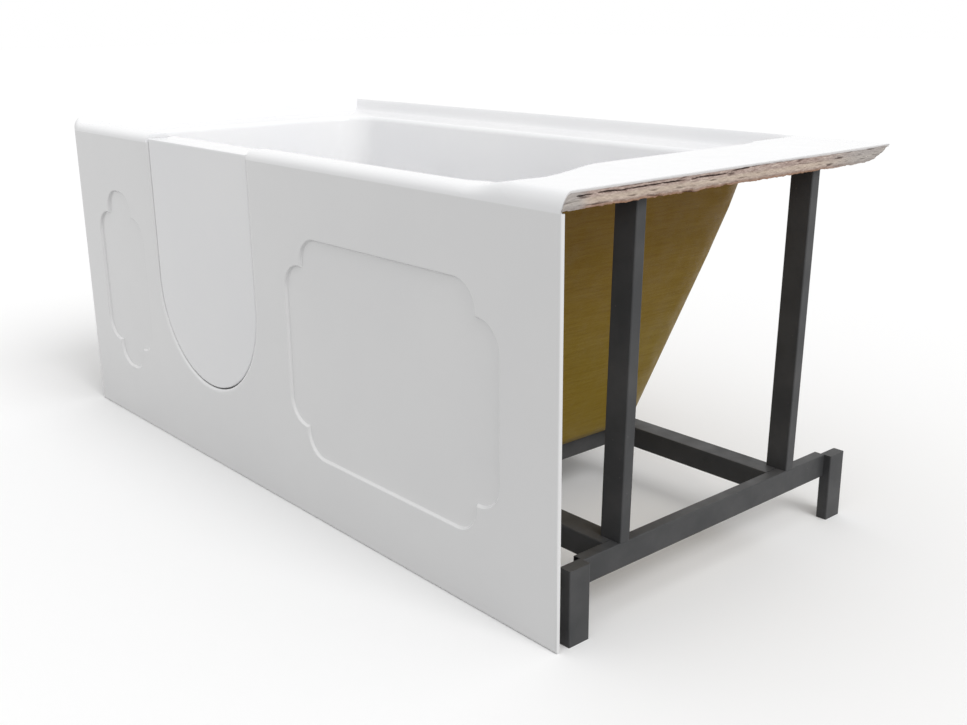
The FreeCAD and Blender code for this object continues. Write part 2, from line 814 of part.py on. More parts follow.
def drain_plug():
    """The lifting plug: a low dome on a stem."""
    up = vector(0, 0, 1)
    base = drain_top + drain_flange_thickness + plug_gap
    rim = rod(vector(drain_x, drain_y, base), up, plug_radius, plug_thickness)
    crown = Part.makeCone(
        plug_radius, plug_radius / 2, plug_crown, vector(drain_x, drain_y, base + plug_thickness), up)
    hub_base = vector(drain_x, drain_y, base - plug_seal_thickness)
    hub = rod(hub_base, up, plug_hub_radius, plug_seal_thickness)
    stem = rod(vector(drain_x, drain_y, base - stem_length), up, stem_radius, stem_length)
    return join([rim, crown, hub, stem])


def plug_seal():
    """The soft ring under the plug."""
    base = drain_top + drain_flange_thickness + plug_gap
    outer = drain_bore_radius - plug_gap
    return pipe(
        vector(drain_x, drain_y, base - plug_seal_thickness), vector(0, 0, 1), outer,
        plug_hub_radius, plug_seal_thickness)


def overflow_plate():
    """The round plate on the foot wall, with the slot that takes the water."""
    plate = overflow_rod(0, overflow_plate_thickness, overflow_plate_radius)
    hollow = overflow_rod(0, overflow_plate_thickness - overflow_wall, overflow_hole_radius)
    slot = block(
        overflow_point.x, overflow_point.x + overflow_plate_thickness - overflow_wall,
        drain_y - overflow_slot_width / 2, drain_y + overflow_slot_width / 2,
        overflow_height - overflow_plate_radius - overrun,
        overflow_height - overflow_plate_radius + overflow_slot_height + overflow_wall)
    shaft_hole = overflow_rod(0, overflow_plate_thickness + overrun, knob_shaft_radius + running_clearance)
    return cut_all(plate, [hollow, slot, shaft_hole])


def overflow_knob():
    """The round knob with a raised grip, on a shaft that works the cable."""
    start = overflow_plate_thickness + knob_gap
    shaft_end = acrylic + laminate + overflow_washer + overflow_collar + overflow_cup_depth / 2
    disc = overflow_rod(start, start + knob_thickness, knob_radius)
    shaft = overflow_rod(-shaft_end, start, knob_shaft_radius)
    grip = block(
        start + knob_thickness - overrun, start + knob_thickness + knob_grip_height,
        -knob_grip_width / 2, knob_grip_width / 2, -knob_radius + knob_gap, knob_radius - knob_gap)
    grip.rotate(vector(0, 0, 0), vector(0, 1, 0), -math.degrees(foot_lean))
    grip.translate(overflow_point)
    return join([disc, shaft, grip])


def overflow_seal():
    """The soft ring between the backing and the overflow body."""
    near = -(acrylic + laminate)
    ring = overflow_rod(near - overflow_washer, near, overflow_flange_radius)
    return ring.cut(overflow_rod(near - overflow_washer, near, overflow_hole_radius))


def overflow_body():
    """The cup behind the foot wall, with its spigot for the pipe and its cable port."""
    near = -(acrylic + laminate + overflow_washer)
    far = near - overflow_collar - overflow_cup_depth
    up = vector(0, 0, 1)
    spigot_height = overflow_height - overflow_outlet
    spigot = rod(vector(pipe_x, drain_y, overflow_outlet), up, pipe_radius, spigot_height)
    port_bottom = overflow_height - overflow_cup_radius - cable_drop
    port = rod(vector(pipe_x, cable_y, port_bottom), up, cable_port_radius, overflow_height - port_bottom)
    body = join([
        overflow_rod(near - overflow_collar, near, overflow_flange_radius),
        overflow_rod(far, near - overflow_collar, overflow_cup_radius), spigot, port])
    inner_radius = overflow_cup_radius - overflow_wall
    return cut_all(body, [
        overflow_rod(far + overflow_wall, near, inner_radius),
        rod(vector(pipe_x, drain_y, overflow_outlet), up, pipe_radius - pipe_wall, spigot_height),
        rod(vector(pipe_x, cable_y, port_bottom), up, cable_radius + running_clearance, cable_port_length),
    ])


def bent_bar(radius, bend, x, y, top, low, x_end):
    """A round bar that comes straight down, bends a quarter turn and runs level along +X."""
    down = rod(vector(x, y, low + bend), vector(0, 0, 1), radius, top - low - bend)
    level = rod(vector(x + bend, y, low), vector(1, 0, 0), radius, x_end - x - bend)
    circle = Part.Wire(Part.makeCircle(radius, vector(x + bend, y, low), vector(1, 0, 0)))
    turn = Part.Face(circle).revolve(vector(x + bend, y, low + bend), vector(0, 1, 0), 90)
    return join([down, turn, level]) if x_end > x + bend else join([down, turn])


def overflow_pipe():
    """The pipe from the overflow body down to the drain body."""
    bore = pipe_radius - pipe_wall
    outer = bent_bar(pipe_radius, pipe_bend, pipe_x, drain_y, overflow_outlet, drain_inlet_height,
                     pipe_x + pipe_bend)
    inner = bent_bar(bore, pipe_bend, pipe_x, drain_y, overflow_outlet, drain_inlet_height,
                     pipe_x + pipe_bend)
    return outer.cut(inner)


def waste_cable():
    """The sheathed cable from the overflow knob's cup to the plug's cup."""
    port_bottom = overflow_height - overflow_cup_radius - cable_drop
    top = port_bottom + cable_port_length - running_clearance
    end = drain_x - drain_cup_radius - running_clearance
    return bent_bar(cable_radius, cable_bend, pipe_x, cable_y, top, drain_inlet_height, end)


def skirt_bracket(leg_face, side):
    """An angle bracket between the skirt's back and the inner face of a front leg."""
    far = leg_face - side * bracket_width
    near = leg_face - side * bracket_thickness
    z1 = bracket_bottom + bracket_height
    flat = block(
        min(far, leg_face), max(far, leg_face), skirt_back, skirt_back + bracket_thickness,
        bracket_bottom, z1)
    arm = block(
        min(near, leg_face), max(near, leg_face), skirt_back, front_leg_y1, bracket_bottom, z1)
    return cut_all(join([flat, arm]), screw_holes(bracket_screw_points[side], vector(-side, 0, 0)))


front_leg_y0 = front + front_leg_place
front_leg_y1 = front_leg_y0 + tube_deep
rear_leg_y1 = rear - rear_leg_place
rear_leg_y0 = rear_leg_y1 - tube_deep
rail_bottom = frame_height - rail_depth
front_rail_y = front + front_rail_place
rear_rail_y1 = rear - rear_rail_place
front_post_y = front + front_post_place
rear_post_y1 = rear - rear_post_place
frame_end = right - crossbar_inset
rail_end = frame_end - tube_thin
leg_inner = right - leg_inset - tube_thin
bracket_screw_points = {}
for side in (-1, 1):
    bracket_screw_points[side] = [
        vector(side * (leg_inner - bracket_thickness), (front_leg_y0 + front_leg_y1) / 2,
               bracket_bottom + bracket_height / 2)]


def mirrored(x0, x1, side):
    """A range of X on one side of the tub's middle, lower value first."""
    return (x0, x1) if side > 0 else (-x1, -x0)


def leg(side, y0):
    """A leg: a short upright tube with a closed top."""
    x0, x1 = mirrored(leg_inner, right - leg_inset, side)
    outer = rounded_block(x0, x1, y0, y0 + tube_deep, 0, frame_height, 2, tube_round)
    inner = block(
        x0 + tube_wall, x1 - tube_wall, y0 + tube_wall, y0 + tube_deep - tube_wall,
        -overrun, frame_height - tube_wall)
    shape = outer.cut(inner)
    return cut_all(shape, screw_holes(bracket_screw_points[side], vector(-side, 0, 0)))


def post(side, y0, top):
    """An upright between the frame and the deck, leaning to the rear and cut level at both ends."""
    x0, x1 = mirrored(frame_end - tube_deep, frame_end, side)
    tube = rectangular_tube(
        x0, x1, y0, y0 + tube_thin, frame_height - tube_deep, top + tube_deep, 2)
    tube.rotate(vector(x0, y0, frame_height), vector(1, 0, 0), -post_lean)
    return tube.common(block(x0 - overrun, x1 + overrun, front, rear, frame_height, top))


def end_crossbar(side):
    """The bar between two legs."""
    x0, x1 = mirrored(rail_end, frame_end, side)
    return rectangular_tube(
        x0, x1, front_leg_y1, rear_leg_y0, frame_height - tube_deep, frame_height, 1)


def rail(y0):
    """A long rail under the basin."""
    return rectangular_tube(-rail_end, rail_end, y0, y0 + tube_deep, rail_bottom, frame_height, 0)


def crossbar(x1):
    """A bar between the two long rails."""
    return rectangular_tube(
        x1 - tube_thin, x1, front_rail_y + tube_deep, rear_rail_y1 - tube_deep,
        rail_bottom, frame_height, 1)


os.makedirs("parts", exist_ok=True)
count = 0


def save(name, shapes):
    """Write one node, as one solid or as a group of separate solids."""
    global count
    solids = shapes if isinstance(shapes, list) else [shapes]
    whole = solids[0] if len(solids) == 1 else Part.makeCompound(solids)
    if len(whole.Solids) == 1:
        whole = whole.Solids[0]
    whole.exportStep("parts/" + name + ".step")
    count += 1
    print(name, "solids", len(whole.Solids), "valid", whole.isValid(), "volume", round(whole.Volume))


save("tub_liner", tub_liner())
save("tub_backing", tub_backing())
save("end_board", end_board())
save("left_board", left_board())
save("front_skirt", front_skirt())
save("left_skirt_batten", skirt_batten(left + batten_end_gap, door_x - jamb_outer_radius))
save("right_skirt_batten", skirt_batten(door_x + jamb_outer_radius, right - batten_end_gap))
save("door_frame", door_frame())

save("door_outer_panel", door_outer_panel())
save("door_core", door_core())
save("door_inner_panel", door_inner_panel())
save("door_seal", door_seal())
for hinge_name, hinge_level in hinge_heights.items():
    save(hinge_name + "_wall_leaf", wall_leaf(hinge_level))
    save(hinge_name + "_door_leaf", door_leaf(hinge_level))
    save(hinge_name + "_hinge_pin", hinge_pin(hinge_level))
save("wall_leaf_screws", screw_set(wall_screw_points, vector(0, 1, 0)))
save("door_leaf_screws", screw_set(door_screw_points, vector(0, 1, 0)))

save("latch_plate", latch_plate())
save("latch_plate_screws", screw_set(latch_screw_points, vector(0, 1, 0)))
save("latch_lever", latch_lever())
save("latch_tongue", latch_tongue())
save("latch_cap_screw", latch_screw())
save("latch_keeper", latch_keeper())
save("keeper_screws", screw_set(keeper_screw_points, vector(0, 1, 0)))

save("drain_flange", drain_flange())
save("drain_gasket", drain_ring(floor_top, drain_gasket))
save("drain_washer", drain_ring(frame_height - drain_washer, drain_washer))
save("drain_body", drain_body())
save("drain_plug", drain_plug())
save("plug_seal", plug_seal())
save("overflow_plate", overflow_plate())
save("overflow_knob", overflow_knob())
save("overflow_seal", overflow_seal())
save("overflow_body", overflow_body())
save("overflow_pipe", overflow_pipe())
save("waste_cable", waste_cable())

save("front_rail", rail(front_rail_y))
save("rear_rail", rail(rear_rail_y1 - tube_deep))
save("head_crossbar", crossbar(right - head_crossbar_place))
save("foot_crossbar", crossbar(left + foot_crossbar_place))
post_tops = {
    1: tub_height - acrylic - end_board_thickness,
    -1: backing_underside - left_board_thickness,
}
for side, side_name in ((-1, "left"), (1, "right")):
    save(side_name + "_end_crossbar", end_crossbar(side))
    save(side_name + "_front_leg", leg(side, front_leg_y0))
    save(side_name + "_rear_leg", leg(side, rear_leg_y0))
    save(side_name + "_front_post", post(side, front_post_y, post_tops[side]))
    save(side_name + "_rear_post", post(side, rear_post_y1 - tube_thin, post_tops[side]))
    bracket_face = side * leg_inner
    save(side_name + "_skirt_bracket", skirt_bracket(bracket_face, side))
    save(side_name + "_bracket_screw", screw_set(bracket_screw_points[side], vector(-side, 0, 0)))
print("nodes", count)
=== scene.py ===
# %% [markdown]
# # A step-in bathtub with a swinging door
# The object is a formed white tub on a welded frame of dark tube. Its construction, with every
# piece at its real size and place, is already made: this script dresses it. We load the fixed
# frame, give each carried-over piece its finish, and build new meshes only where the real
# surface is softer, rougher or rounder than the plain construction.

# %% Load the frame
import bmesh
import bpy
import json
import math
from mathutils import Matrix, Vector, noise

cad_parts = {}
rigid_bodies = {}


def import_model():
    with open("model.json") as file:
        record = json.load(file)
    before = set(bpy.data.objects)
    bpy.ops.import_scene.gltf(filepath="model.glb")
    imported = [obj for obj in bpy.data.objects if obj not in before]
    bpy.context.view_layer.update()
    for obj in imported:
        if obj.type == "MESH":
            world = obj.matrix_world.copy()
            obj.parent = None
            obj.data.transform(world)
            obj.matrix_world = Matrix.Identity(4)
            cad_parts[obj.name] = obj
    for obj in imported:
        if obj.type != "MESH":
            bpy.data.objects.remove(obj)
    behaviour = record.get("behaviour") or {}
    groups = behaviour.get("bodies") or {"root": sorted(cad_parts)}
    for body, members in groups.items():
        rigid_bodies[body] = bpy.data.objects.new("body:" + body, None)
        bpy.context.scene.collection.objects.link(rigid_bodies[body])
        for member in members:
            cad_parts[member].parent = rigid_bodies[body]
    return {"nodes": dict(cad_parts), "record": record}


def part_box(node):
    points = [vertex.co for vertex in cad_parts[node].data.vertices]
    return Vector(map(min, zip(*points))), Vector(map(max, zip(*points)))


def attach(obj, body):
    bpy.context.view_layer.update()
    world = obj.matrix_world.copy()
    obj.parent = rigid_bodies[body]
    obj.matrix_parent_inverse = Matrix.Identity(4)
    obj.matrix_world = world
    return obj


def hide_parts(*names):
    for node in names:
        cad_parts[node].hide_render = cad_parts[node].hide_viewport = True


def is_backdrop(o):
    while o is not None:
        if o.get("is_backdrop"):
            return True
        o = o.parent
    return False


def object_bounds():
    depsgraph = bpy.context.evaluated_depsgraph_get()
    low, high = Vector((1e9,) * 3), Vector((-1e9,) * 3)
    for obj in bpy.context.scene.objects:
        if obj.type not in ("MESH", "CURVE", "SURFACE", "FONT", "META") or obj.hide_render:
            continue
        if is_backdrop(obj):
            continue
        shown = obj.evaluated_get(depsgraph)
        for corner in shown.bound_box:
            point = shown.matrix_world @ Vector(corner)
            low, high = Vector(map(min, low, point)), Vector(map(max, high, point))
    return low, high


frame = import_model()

cad_low, cad_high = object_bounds()
print("pieces in the frame:", len(frame["nodes"]))
print("size in metres:", [round(high - low, 3) for low, high in zip(cad_low, cad_high)])

# %% [markdown]
# ## The camera
# The photograph was taken from the right front, a little above the rim. The place, the aim and
# the lens were worked out from the tub's corners, so the render lines up with the photograph.
# The camera is also rolled by half a degree, as a hand-held one is.

# %% Camera
camera_place = Vector((1.7383, -1.3603, 0.8495))
camera_aim = Vector((0.2929, -0.1081, 0.2640))
camera_roll = math.radians(-0.51)
camera_lens = 42.57



def link(thing):
    """Put a new object in the scene."""
    bpy.context.scene.collection.objects.link(thing)
    return thing


camera_data = bpy.data.cameras.new("photo_camera")
camera_data.lens = camera_lens
camera_data.sensor_width = 36.0
camera_data.sensor_fit = "HORIZONTAL"
camera = link(bpy.data.objects.new("photo_camera", camera_data))
look = (camera_aim - camera_place).to_track_quat("-Z", "Y").to_matrix().to_4x4()
roll = Matrix.Rotation(camera_roll, 4, "Z")
camera.matrix_world = Matrix.Translation(camera_place) @ look @ roll
bpy.context.scene.camera = camera
bpy.context.scene.view_settings.view_transform = "Standard"
print("camera to aim:", round((camera_aim - camera_place).length, 2), "m")

# %% [markdown]
# ## Floor and light
# White acrylic shows its shape only by soft differences of grey, so one broad soft light comes
# from high on the right, an even world fills in, and a white floor throws light back up. An area
# lamp could do it, but its light falls off and the floor would fade to grey, so the light is a
# sun with a wide soft disc. The world is pure white only to the camera and to reflections; what
# lights the tub is a weaker grey. In the same way the floor is pale to the camera but throws
# less light back, so the upright skirt stays a soft grey under the white rim.

# %% Floor and light
FLOOR_REACH = 30.0
sun_from = Vector((0.72, 0.0, 0.70))
sun_strength = 1.25
sun_softness = math.radians(30)
world_light = 0.82
floor_colour = 0.93
floor_bounce = 0.38


def new_material(name):
    """A node material with an empty tree and its output."""
    material = bpy.data.materials.new(name)
    material.use_nodes = True
    material.node_tree.nodes.clear()
    output = material.node_tree.nodes.new("ShaderNodeOutputMaterial")
    return material, material.node_tree, output


def grey_shader(tree, kind, level, strength=None):
    """A plain shader node of one grey."""
    node = tree.nodes.new(kind)
    node.inputs["Color"].default_value = (level, level, level, 1)
    if strength is not None:
        node.inputs["Strength"].default_value = strength
    return node


def split_by_ray(tree, lighting, seen, surface):
    """One shader for the light it gives, another for the camera and for reflections."""
    path = tree.nodes.new("ShaderNodeLightPath")
    seen_by = tree.nodes.new("ShaderNodeMath")
    seen_by.operation = "MAXIMUM"
    tree.links.new(path.outputs["Is Camera Ray"], seen_by.inputs[0])
    tree.links.new(path.outputs["Is Glossy Ray"], seen_by.inputs[1])
    mix = tree.nodes.new("ShaderNodeMixShader")
    tree.links.new(seen_by.outputs["Value"], mix.inputs["Fac"])
    tree.links.new(lighting.outputs[0], mix.inputs[1])
    tree.links.new(seen.outputs[0], mix.inputs[2])
    tree.links.new(mix.outputs["Shader"], surface)


floor_mesh = bpy.data.meshes.new("studio_floor")
shape = bmesh.new()
bmesh.ops.create_grid(shape, x_segments=1, y_segments=1, size=FLOOR_REACH)
shape.to_mesh(floor_mesh)
shape.free()
floor = link(bpy.data.objects.new("studio_floor", floor_mesh))
floor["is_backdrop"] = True
floor_paint, tree, output = new_material("studio_floor")
split_by_ray(
    tree, grey_shader(tree, "ShaderNodeBsdfDiffuse", floor_bounce),
    grey_shader(tree, "ShaderNodeBsdfDiffuse", floor_colour), output.inputs["Surface"])
floor_mesh.materials.append(floor_paint)

lamp_data = bpy.data.lights.new("soft_sun", "SUN")
lamp_data.energy = sun_strength
lamp_data.angle = sun_softness
lamp = link(bpy.data.objects.new("soft_sun", lamp_data))
lamp.matrix_world = (
    Matrix.Translation(sun_from * 3) @ (-sun_from).to_track_quat("-Z", "Y").to_matrix().to_4x4())

world = bpy.data.worlds.new("studio")
bpy.context.scene.world = world
world.use_nodes = True
tree = world.node_tree
tree.nodes.clear()
output = tree.nodes.new("ShaderNodeOutputWorld")
split_by_ray(
    tree, grey_shader(tree, "ShaderNodeBackground", 1, world_light),
    grey_shader(tree, "ShaderNodeBackground", 1, 1.0), output.inputs["Surface"])
print("sun strength:", sun_strength, "world light:", world_light)

# %% [markdown]
# ## Effects that several finishes share
# Real surfaces are never one even value. Acrylic has a faint waviness left by the mould, paint
# has a fine orange peel, and everything carries a little dust where it faces up. Each effect is
# a node group, built once, which puts out a mask or a height; each finish adds its own amounts.
# All of them read Object coordinates, which here are real metres.

# %% Node helpers


def new_group(name, numbers):
    """A node group with number inputs, one value out and object coordinates."""
    group = bpy.data.node_groups.new(name, "ShaderNodeTree")
    for label, value in numbers.items():
        socket = group.interface.new_socket(label, in_out="INPUT", socket_type="NodeSocketFloat")
        socket.default_value = value
    group.interface.new_socket("Value", in_out="OUTPUT", socket_type="NodeSocketFloat")
    entry = group.nodes.new("NodeGroupInput")
    leave = group.nodes.new("NodeGroupOutput")
    place = group.nodes.new("ShaderNodeTexCoord").outputs["Object"]
    return group, entry, leave, place


def stretched(tree, vector, stretch):
    """Coordinates stretched along the axes."""
    node = tree.nodes.new("ShaderNodeMapping")
    node.inputs["Scale"].default_value = stretch
    tree.links.new(vector, node.inputs["Vector"])
    return node.outputs["Vector"]


def put(value, socket):
    """Put a number, a colour or another socket on a socket."""
    if isinstance(value, (int, float)):
        socket.default_value = value
    elif isinstance(value, tuple):
        socket.default_value = (*value, 1)
    else:
        socket.id_data.links.new(value, socket)


def noise_value(tree, vector, scale, detail, roughness=0.55):
    """A noise texture; the scale may be a number or a socket."""
    node = tree.nodes.new("ShaderNodeTexNoise")
    node.inputs["Detail"].default_value = detail
    node.inputs["Roughness"].default_value = roughness
    tree.links.new(vector, node.inputs["Vector"])
    put(scale, node.inputs["Scale"])
    return node.outputs["Fac"]


def maths(tree, kind, first, second):
    """A maths node on sockets or numbers."""
    node = tree.nodes.new("ShaderNodeMath")
    node.operation = kind
    put(first, node.inputs[0])
    put(second, node.inputs[1])
    return node.outputs["Value"]


def span(tree, value, from_low, from_high, to_low, to_high):
    """Map a value from one range to another, and keep it there."""
    node = tree.nodes.new("ShaderNodeMapRange")
    node.clamp = True
    tree.links.new(value, node.inputs["Value"])
    labels = ("From Min", "From Max", "To Min", "To Max")
    for label, number in zip(labels, (from_low, from_high, to_low, to_high)):
        put(number, node.inputs[label])
    return node.outputs["Result"]


def ramp(tree, value, stops):
    """Colours along a value, each stop a place and a colour."""
    node = tree.nodes.new("ShaderNodeValToRGB")
    marks = node.color_ramp.elements
    while len(marks) < len(stops):
        marks.new(0.5)
    for mark, (place, colour) in zip(marks, stops):
        mark.position = place
        mark.color = (*colour, 1)
    tree.links.new(value, node.inputs["Fac"])
    return node.outputs["Color"]


def mixed(tree, share, first, second, kind="MIX"):
    """Two colours mixed by a share; each may be a colour or a socket."""
    node = tree.nodes.new("ShaderNodeMix")
    node.data_type = "RGBA"
    node.blend_type = kind
    put(share, node.inputs[0])
    put(first, node.inputs[6])
    put(second, node.inputs[7])
    return node.outputs[2]

# %% Shared effects
cloud_group, entry, leave, place = new_group(
    "cloudy", {"Scale": 8.0, "Low": 0.1, "High": 0.2})
cloud = noise_value(cloud_group, place, entry.outputs["Scale"], 5.0)
cloud = span(cloud_group, cloud, 0.35, 0.65, entry.outputs["Low"], entry.outputs["High"])
put(cloud, leave.inputs["Value"])

ripple_group, entry, leave, place = new_group(
    "moulded_ripple", {"Wave": 22.0, "Peel": 900.0, "Peel Share": 0.10})
wave = noise_value(ripple_group, place, entry.outputs["Wave"], 2.0, 0.4)
peel = noise_value(ripple_group, place, entry.outputs["Peel"], 1.0, 0.5)
peel = maths(ripple_group, "MULTIPLY", peel, entry.outputs["Peel Share"])
put(maths(ripple_group, "ADD", wave, peel), leave.inputs["Value"])

dust_group, entry, leave, place = new_group("settled_dust", {"Scale": 40.0, "Amount": 0.3})
facing = dust_group.nodes.new("ShaderNodeSeparateXYZ")
geometry = dust_group.nodes.new("ShaderNodeNewGeometry")
put(geometry.outputs["Normal"], facing.inputs["Vector"])
upward = span(dust_group, facing.outputs["Z"], 0.55, 0.98, 0.0, 1.0)
specks = noise_value(dust_group, place, entry.outputs["Scale"], 6.0, 0.65)
specks = span(dust_group, specks, 0.38, 0.68, 0.15, 1.0)
amount = maths(dust_group, "MULTIPLY", upward, specks)
amount = maths(dust_group, "MULTIPLY", amount, entry.outputs["Amount"])
put(amount, leave.inputs["Value"])

speck_group, entry, leave, place = new_group("fine_specks", {"Scale": 300.0, "Share": 0.2})
cells = speck_group.nodes.new("ShaderNodeTexVoronoi")
put(place, cells.inputs["Vector"])
put(entry.outputs["Scale"], cells.inputs["Scale"])
near = span(speck_group, cells.outputs["Distance"], 0.0, entry.outputs["Share"], 1.0, 0.0)
put(near, leave.inputs["Value"])

scratch_group, entry, leave, place = new_group(
    "fine_lines", {"Scale": 60.0, "Low": 0.45, "High": 0.6})
drawn = stretched(scratch_group, place, (1, 1, 26))
lines = noise_value(scratch_group, drawn, entry.outputs["Scale"], 3.0, 0.7)
lines = span(scratch_group, lines, entry.outputs["Low"], entry.outputs["High"], 0.0, 1.0)
put(lines, leave.inputs["Value"])
print("effects:", [group.name for group in bpy.data.node_groups])

# %% [markdown]
# ## Finishes
# Each finish is one Principled shader. What is the same all over is set on the shader itself;
# what changes over the surface comes from the shared effects.
#
# The tub is glossy white acrylic. One even white would do, but it reads as plaster. Two close
# tones, a thin coat and a faint ripple let the reflections drift as they do on a formed sheet.
# The skirt takes a copy of the same acrylic, a touch greyer: painted shade for its upright face,
# which is lit less than the deck.

# %% Finish helpers
finishes = {}


def new_finish(slot, metallic=0.0):
    """A named finish and its shader."""
    material, tree, output = new_material(slot)
    shader = tree.nodes.new("ShaderNodeBsdfPrincipled")
    shader.inputs["Metallic"].default_value = metallic
    tree.links.new(shader.outputs["BSDF"], output.inputs["Surface"])
    finishes[slot] = material
    return tree, shader


def effect(tree, group, **numbers):
    """Place a shared effect with its own amounts; returns its value."""
    node = tree.nodes.new("ShaderNodeGroup")
    node.node_tree = group
    for label, value in numbers.items():
        node.inputs[label.replace("_", " ")].default_value = value
    return node.outputs["Value"]


def add_bump(tree, shader, height, distance, strength):
    """Drive the shader's normal from a height."""
    bump = tree.nodes.new("ShaderNodeBump")
    bump.inputs["Strength"].default_value = strength
    bump.inputs["Distance"].default_value = distance
    tree.links.new(height, bump.inputs["Height"])
    tree.links.new(bump.outputs["Normal"], shader.inputs["Normal"])


def clouded_tone(tree, scale, first, second):
    """A colour that drifts between two tones."""
    return mixed(tree, effect(tree, cloud_group, Scale=scale, Low=0.0, High=1.0), first, second)


def paint(tree, shader, colour, scale, low, high):
    """Give the shader its colour and a roughness that drifts between two values."""
    put(colour, shader.inputs["Base Color"])
    rough = effect(tree, cloud_group, Scale=scale, Low=low, High=high)
    put(rough, shader.inputs["Roughness"])


def add_ripple(tree, shader, wave, peel, peel_share, distance, strength):
    """The faint waviness and fine peel that moulding or spraying leaves."""
    ripple = effect(tree, ripple_group, Wave=wave, Peel=peel, Peel_Share=peel_share)
    add_bump(tree, shader, ripple, distance, strength)


def attribute(tree, name):
    """A value kept on the points of the mesh."""
    node = tree.nodes.new("ShaderNodeAttribute")
    node.attribute_name = name
    return node.outputs["Fac"]


# %% White acrylic


def white_acrylic(name, dull, clear):
    """Glossy formed acrylic between two close tones of white."""
    tree, shader = new_finish(name)
    paint(tree, shader, clouded_tone(tree, 3.5, dull, clear), 14.0, 0.14, 0.20)
    shader.inputs["Coat Weight"].default_value = 0.35
    shader.inputs["Coat Roughness"].default_value = 0.06
    add_ripple(tree, shader, 16.0, 700.0, 0.02, 0.0003, 0.5)


white_acrylic("white_acrylic", (0.860, 0.863, 0.876), (0.882, 0.882, 0.888))
# a greyer copy of the white acrylic for the upright skirt: painted shade
white_acrylic("shaded_skirt_acrylic", (0.800, 0.800, 0.803), (0.822, 0.822, 0.822))
print("finishes ready: white_acrylic, shaded_skirt_acrylic")

# %% [markdown]
# The underside of the formed sheet is sprayed with resin and chopped glass. It dries olive brown
# with fine level streaks where the roller went round. Higher up, under the deck's overhang, the
# colour is darkened and warmed: painted shade.

# %% Glass fibre
tree, shader = new_finish("glass_fibre")
place = tree.nodes.new("ShaderNodeTexCoord").outputs["Object"]
parts = tree.nodes.new("ShaderNodeSeparateXYZ")
put(place, parts.inputs["Vector"])
streak = noise_value(tree, stretched(tree, place, (7, 7, 150)), 1.6, 6.0, 0.62)
grain = noise_value(tree, stretched(tree, place, (60, 60, 620)), 2.0, 4.0, 0.7)
patch = noise_value(tree, place, 5.0, 4.0, 0.5)
blend = maths(tree, "MULTIPLY", streak, 0.45)
blend = maths(tree, "ADD", blend, maths(tree, "MULTIPLY", grain, 0.35))
blend = maths(tree, "ADD", blend, maths(tree, "MULTIPLY", patch, 0.20))
brown = ramp(tree, span(tree, blend, 0.26, 0.74, 0.0, 1.0), (
    (0.0, (0.185, 0.112, 0.010)), (0.35, (0.235, 0.150, 0.015)),
    (0.65, (0.275, 0.185, 0.024)), (1.0, (0.350, 0.250, 0.050))))
# darker and warmer towards the top, under the deck: painted shade
under_deck_shade = span(tree, parts.outputs["Z"], 0.30, 0.62, 0.0, 0.55)
brown = mixed(tree, under_deck_shade, brown, (1.05, 0.72, 0.45), "MULTIPLY")
paint(tree, shader, brown, 30.0, 0.42, 0.62)
shader.inputs["Specular IOR Level"].default_value = 0.15
add_bump(tree, shader, blend, 0.0012, 0.8)
print("finish ready: glass_fibre")

# %% [markdown]
# The raw board is pressed from wood fibre. Seen from the sawn end it is pinkish beige, paler and
# creamy where the fibres were torn. The crack and the pits are painted near black, and the lower
# edge darker, as painted shade.

# %% Raw board


def board_tones(tree):
    """Pinkish wood fibre with paler torn places; returns its colour and its height."""
    place = tree.nodes.new("ShaderNodeTexCoord").outputs["Object"]
    fibre = noise_value(tree, stretched(tree, place, (120, 38, 210)), 3.0, 6.0, 0.72)
    blotch = noise_value(tree, stretched(tree, place, (60, 20, 70)), 2.2, 4.0, 0.6)
    blotch = maths(tree, "MULTIPLY", blotch, 0.4)
    blend = maths(tree, "ADD", maths(tree, "MULTIPLY", fibre, 0.6), blotch)
    tones = ramp(tree, span(tree, blend, 0.34, 0.66, 0.0, 1.0), (
        (0.0, (0.210, 0.130, 0.100)), (0.30, (0.380, 0.285, 0.250)),
        (0.62, (0.500, 0.395, 0.350)), (1.0, (0.740, 0.640, 0.540))))
    return tones, blend


tree, shader = new_finish("raw_board")
tones, blend = board_tones(tree)
tones = mixed(tree, 0.75, tones, (0.80, 0.72, 0.62), "MULTIPLY")
paint(tree, shader, tones, 60.0, 0.78, 0.95)
shader.inputs["Specular IOR Level"].default_value = 0.2
add_bump(tree, shader, blend, 0.0010, 0.8)

tree, shader = new_finish("sawn_board")
tones, blend = board_tones(tree)
share = attribute(tree, "board_share")
# darker towards the board's lower edge, where the end turns under: painted shade
low = span(tree, share, 0.0, 0.20, 0.85, 0.0)
tones = mixed(tree, low, tones, (0.330, 0.170, 0.090))
cream = span(tree, share, 0.12, 0.34, 0.0, 1.0)
cream = maths(tree, "MULTIPLY", cream, span(tree, share, 0.45, 0.62, 0.55, 0.0))
tones = mixed(tree, cream, tones, (0.680, 0.575, 0.460))
worn = maths(tree, "MULTIPLY", attribute(tree, "worn"), 0.72)
tones = mixed(tree, worn, tones, (0.440, 0.425, 0.410))
skin = span(tree, share, 0.86, 0.91, 0.0, 1.0)
tones = mixed(tree, skin, tones, (0.740, 0.720, 0.715))
# the crack and the pits go near black: painted shade in them
crack_shade = span(tree, attribute(tree, "crack"), 0.05, 0.75, 0.0, 0.96)
tones = mixed(tree, crack_shade, tones, (0.060, 0.030, 0.024))
paint(tree, shader, tones, 60.0, 0.75, 0.95)
shader.inputs["Specular IOR Level"].default_value = 0.2
add_bump(tree, shader, blend, 0.0008, 0.9)
print("finishes ready: raw_board, sawn_board")
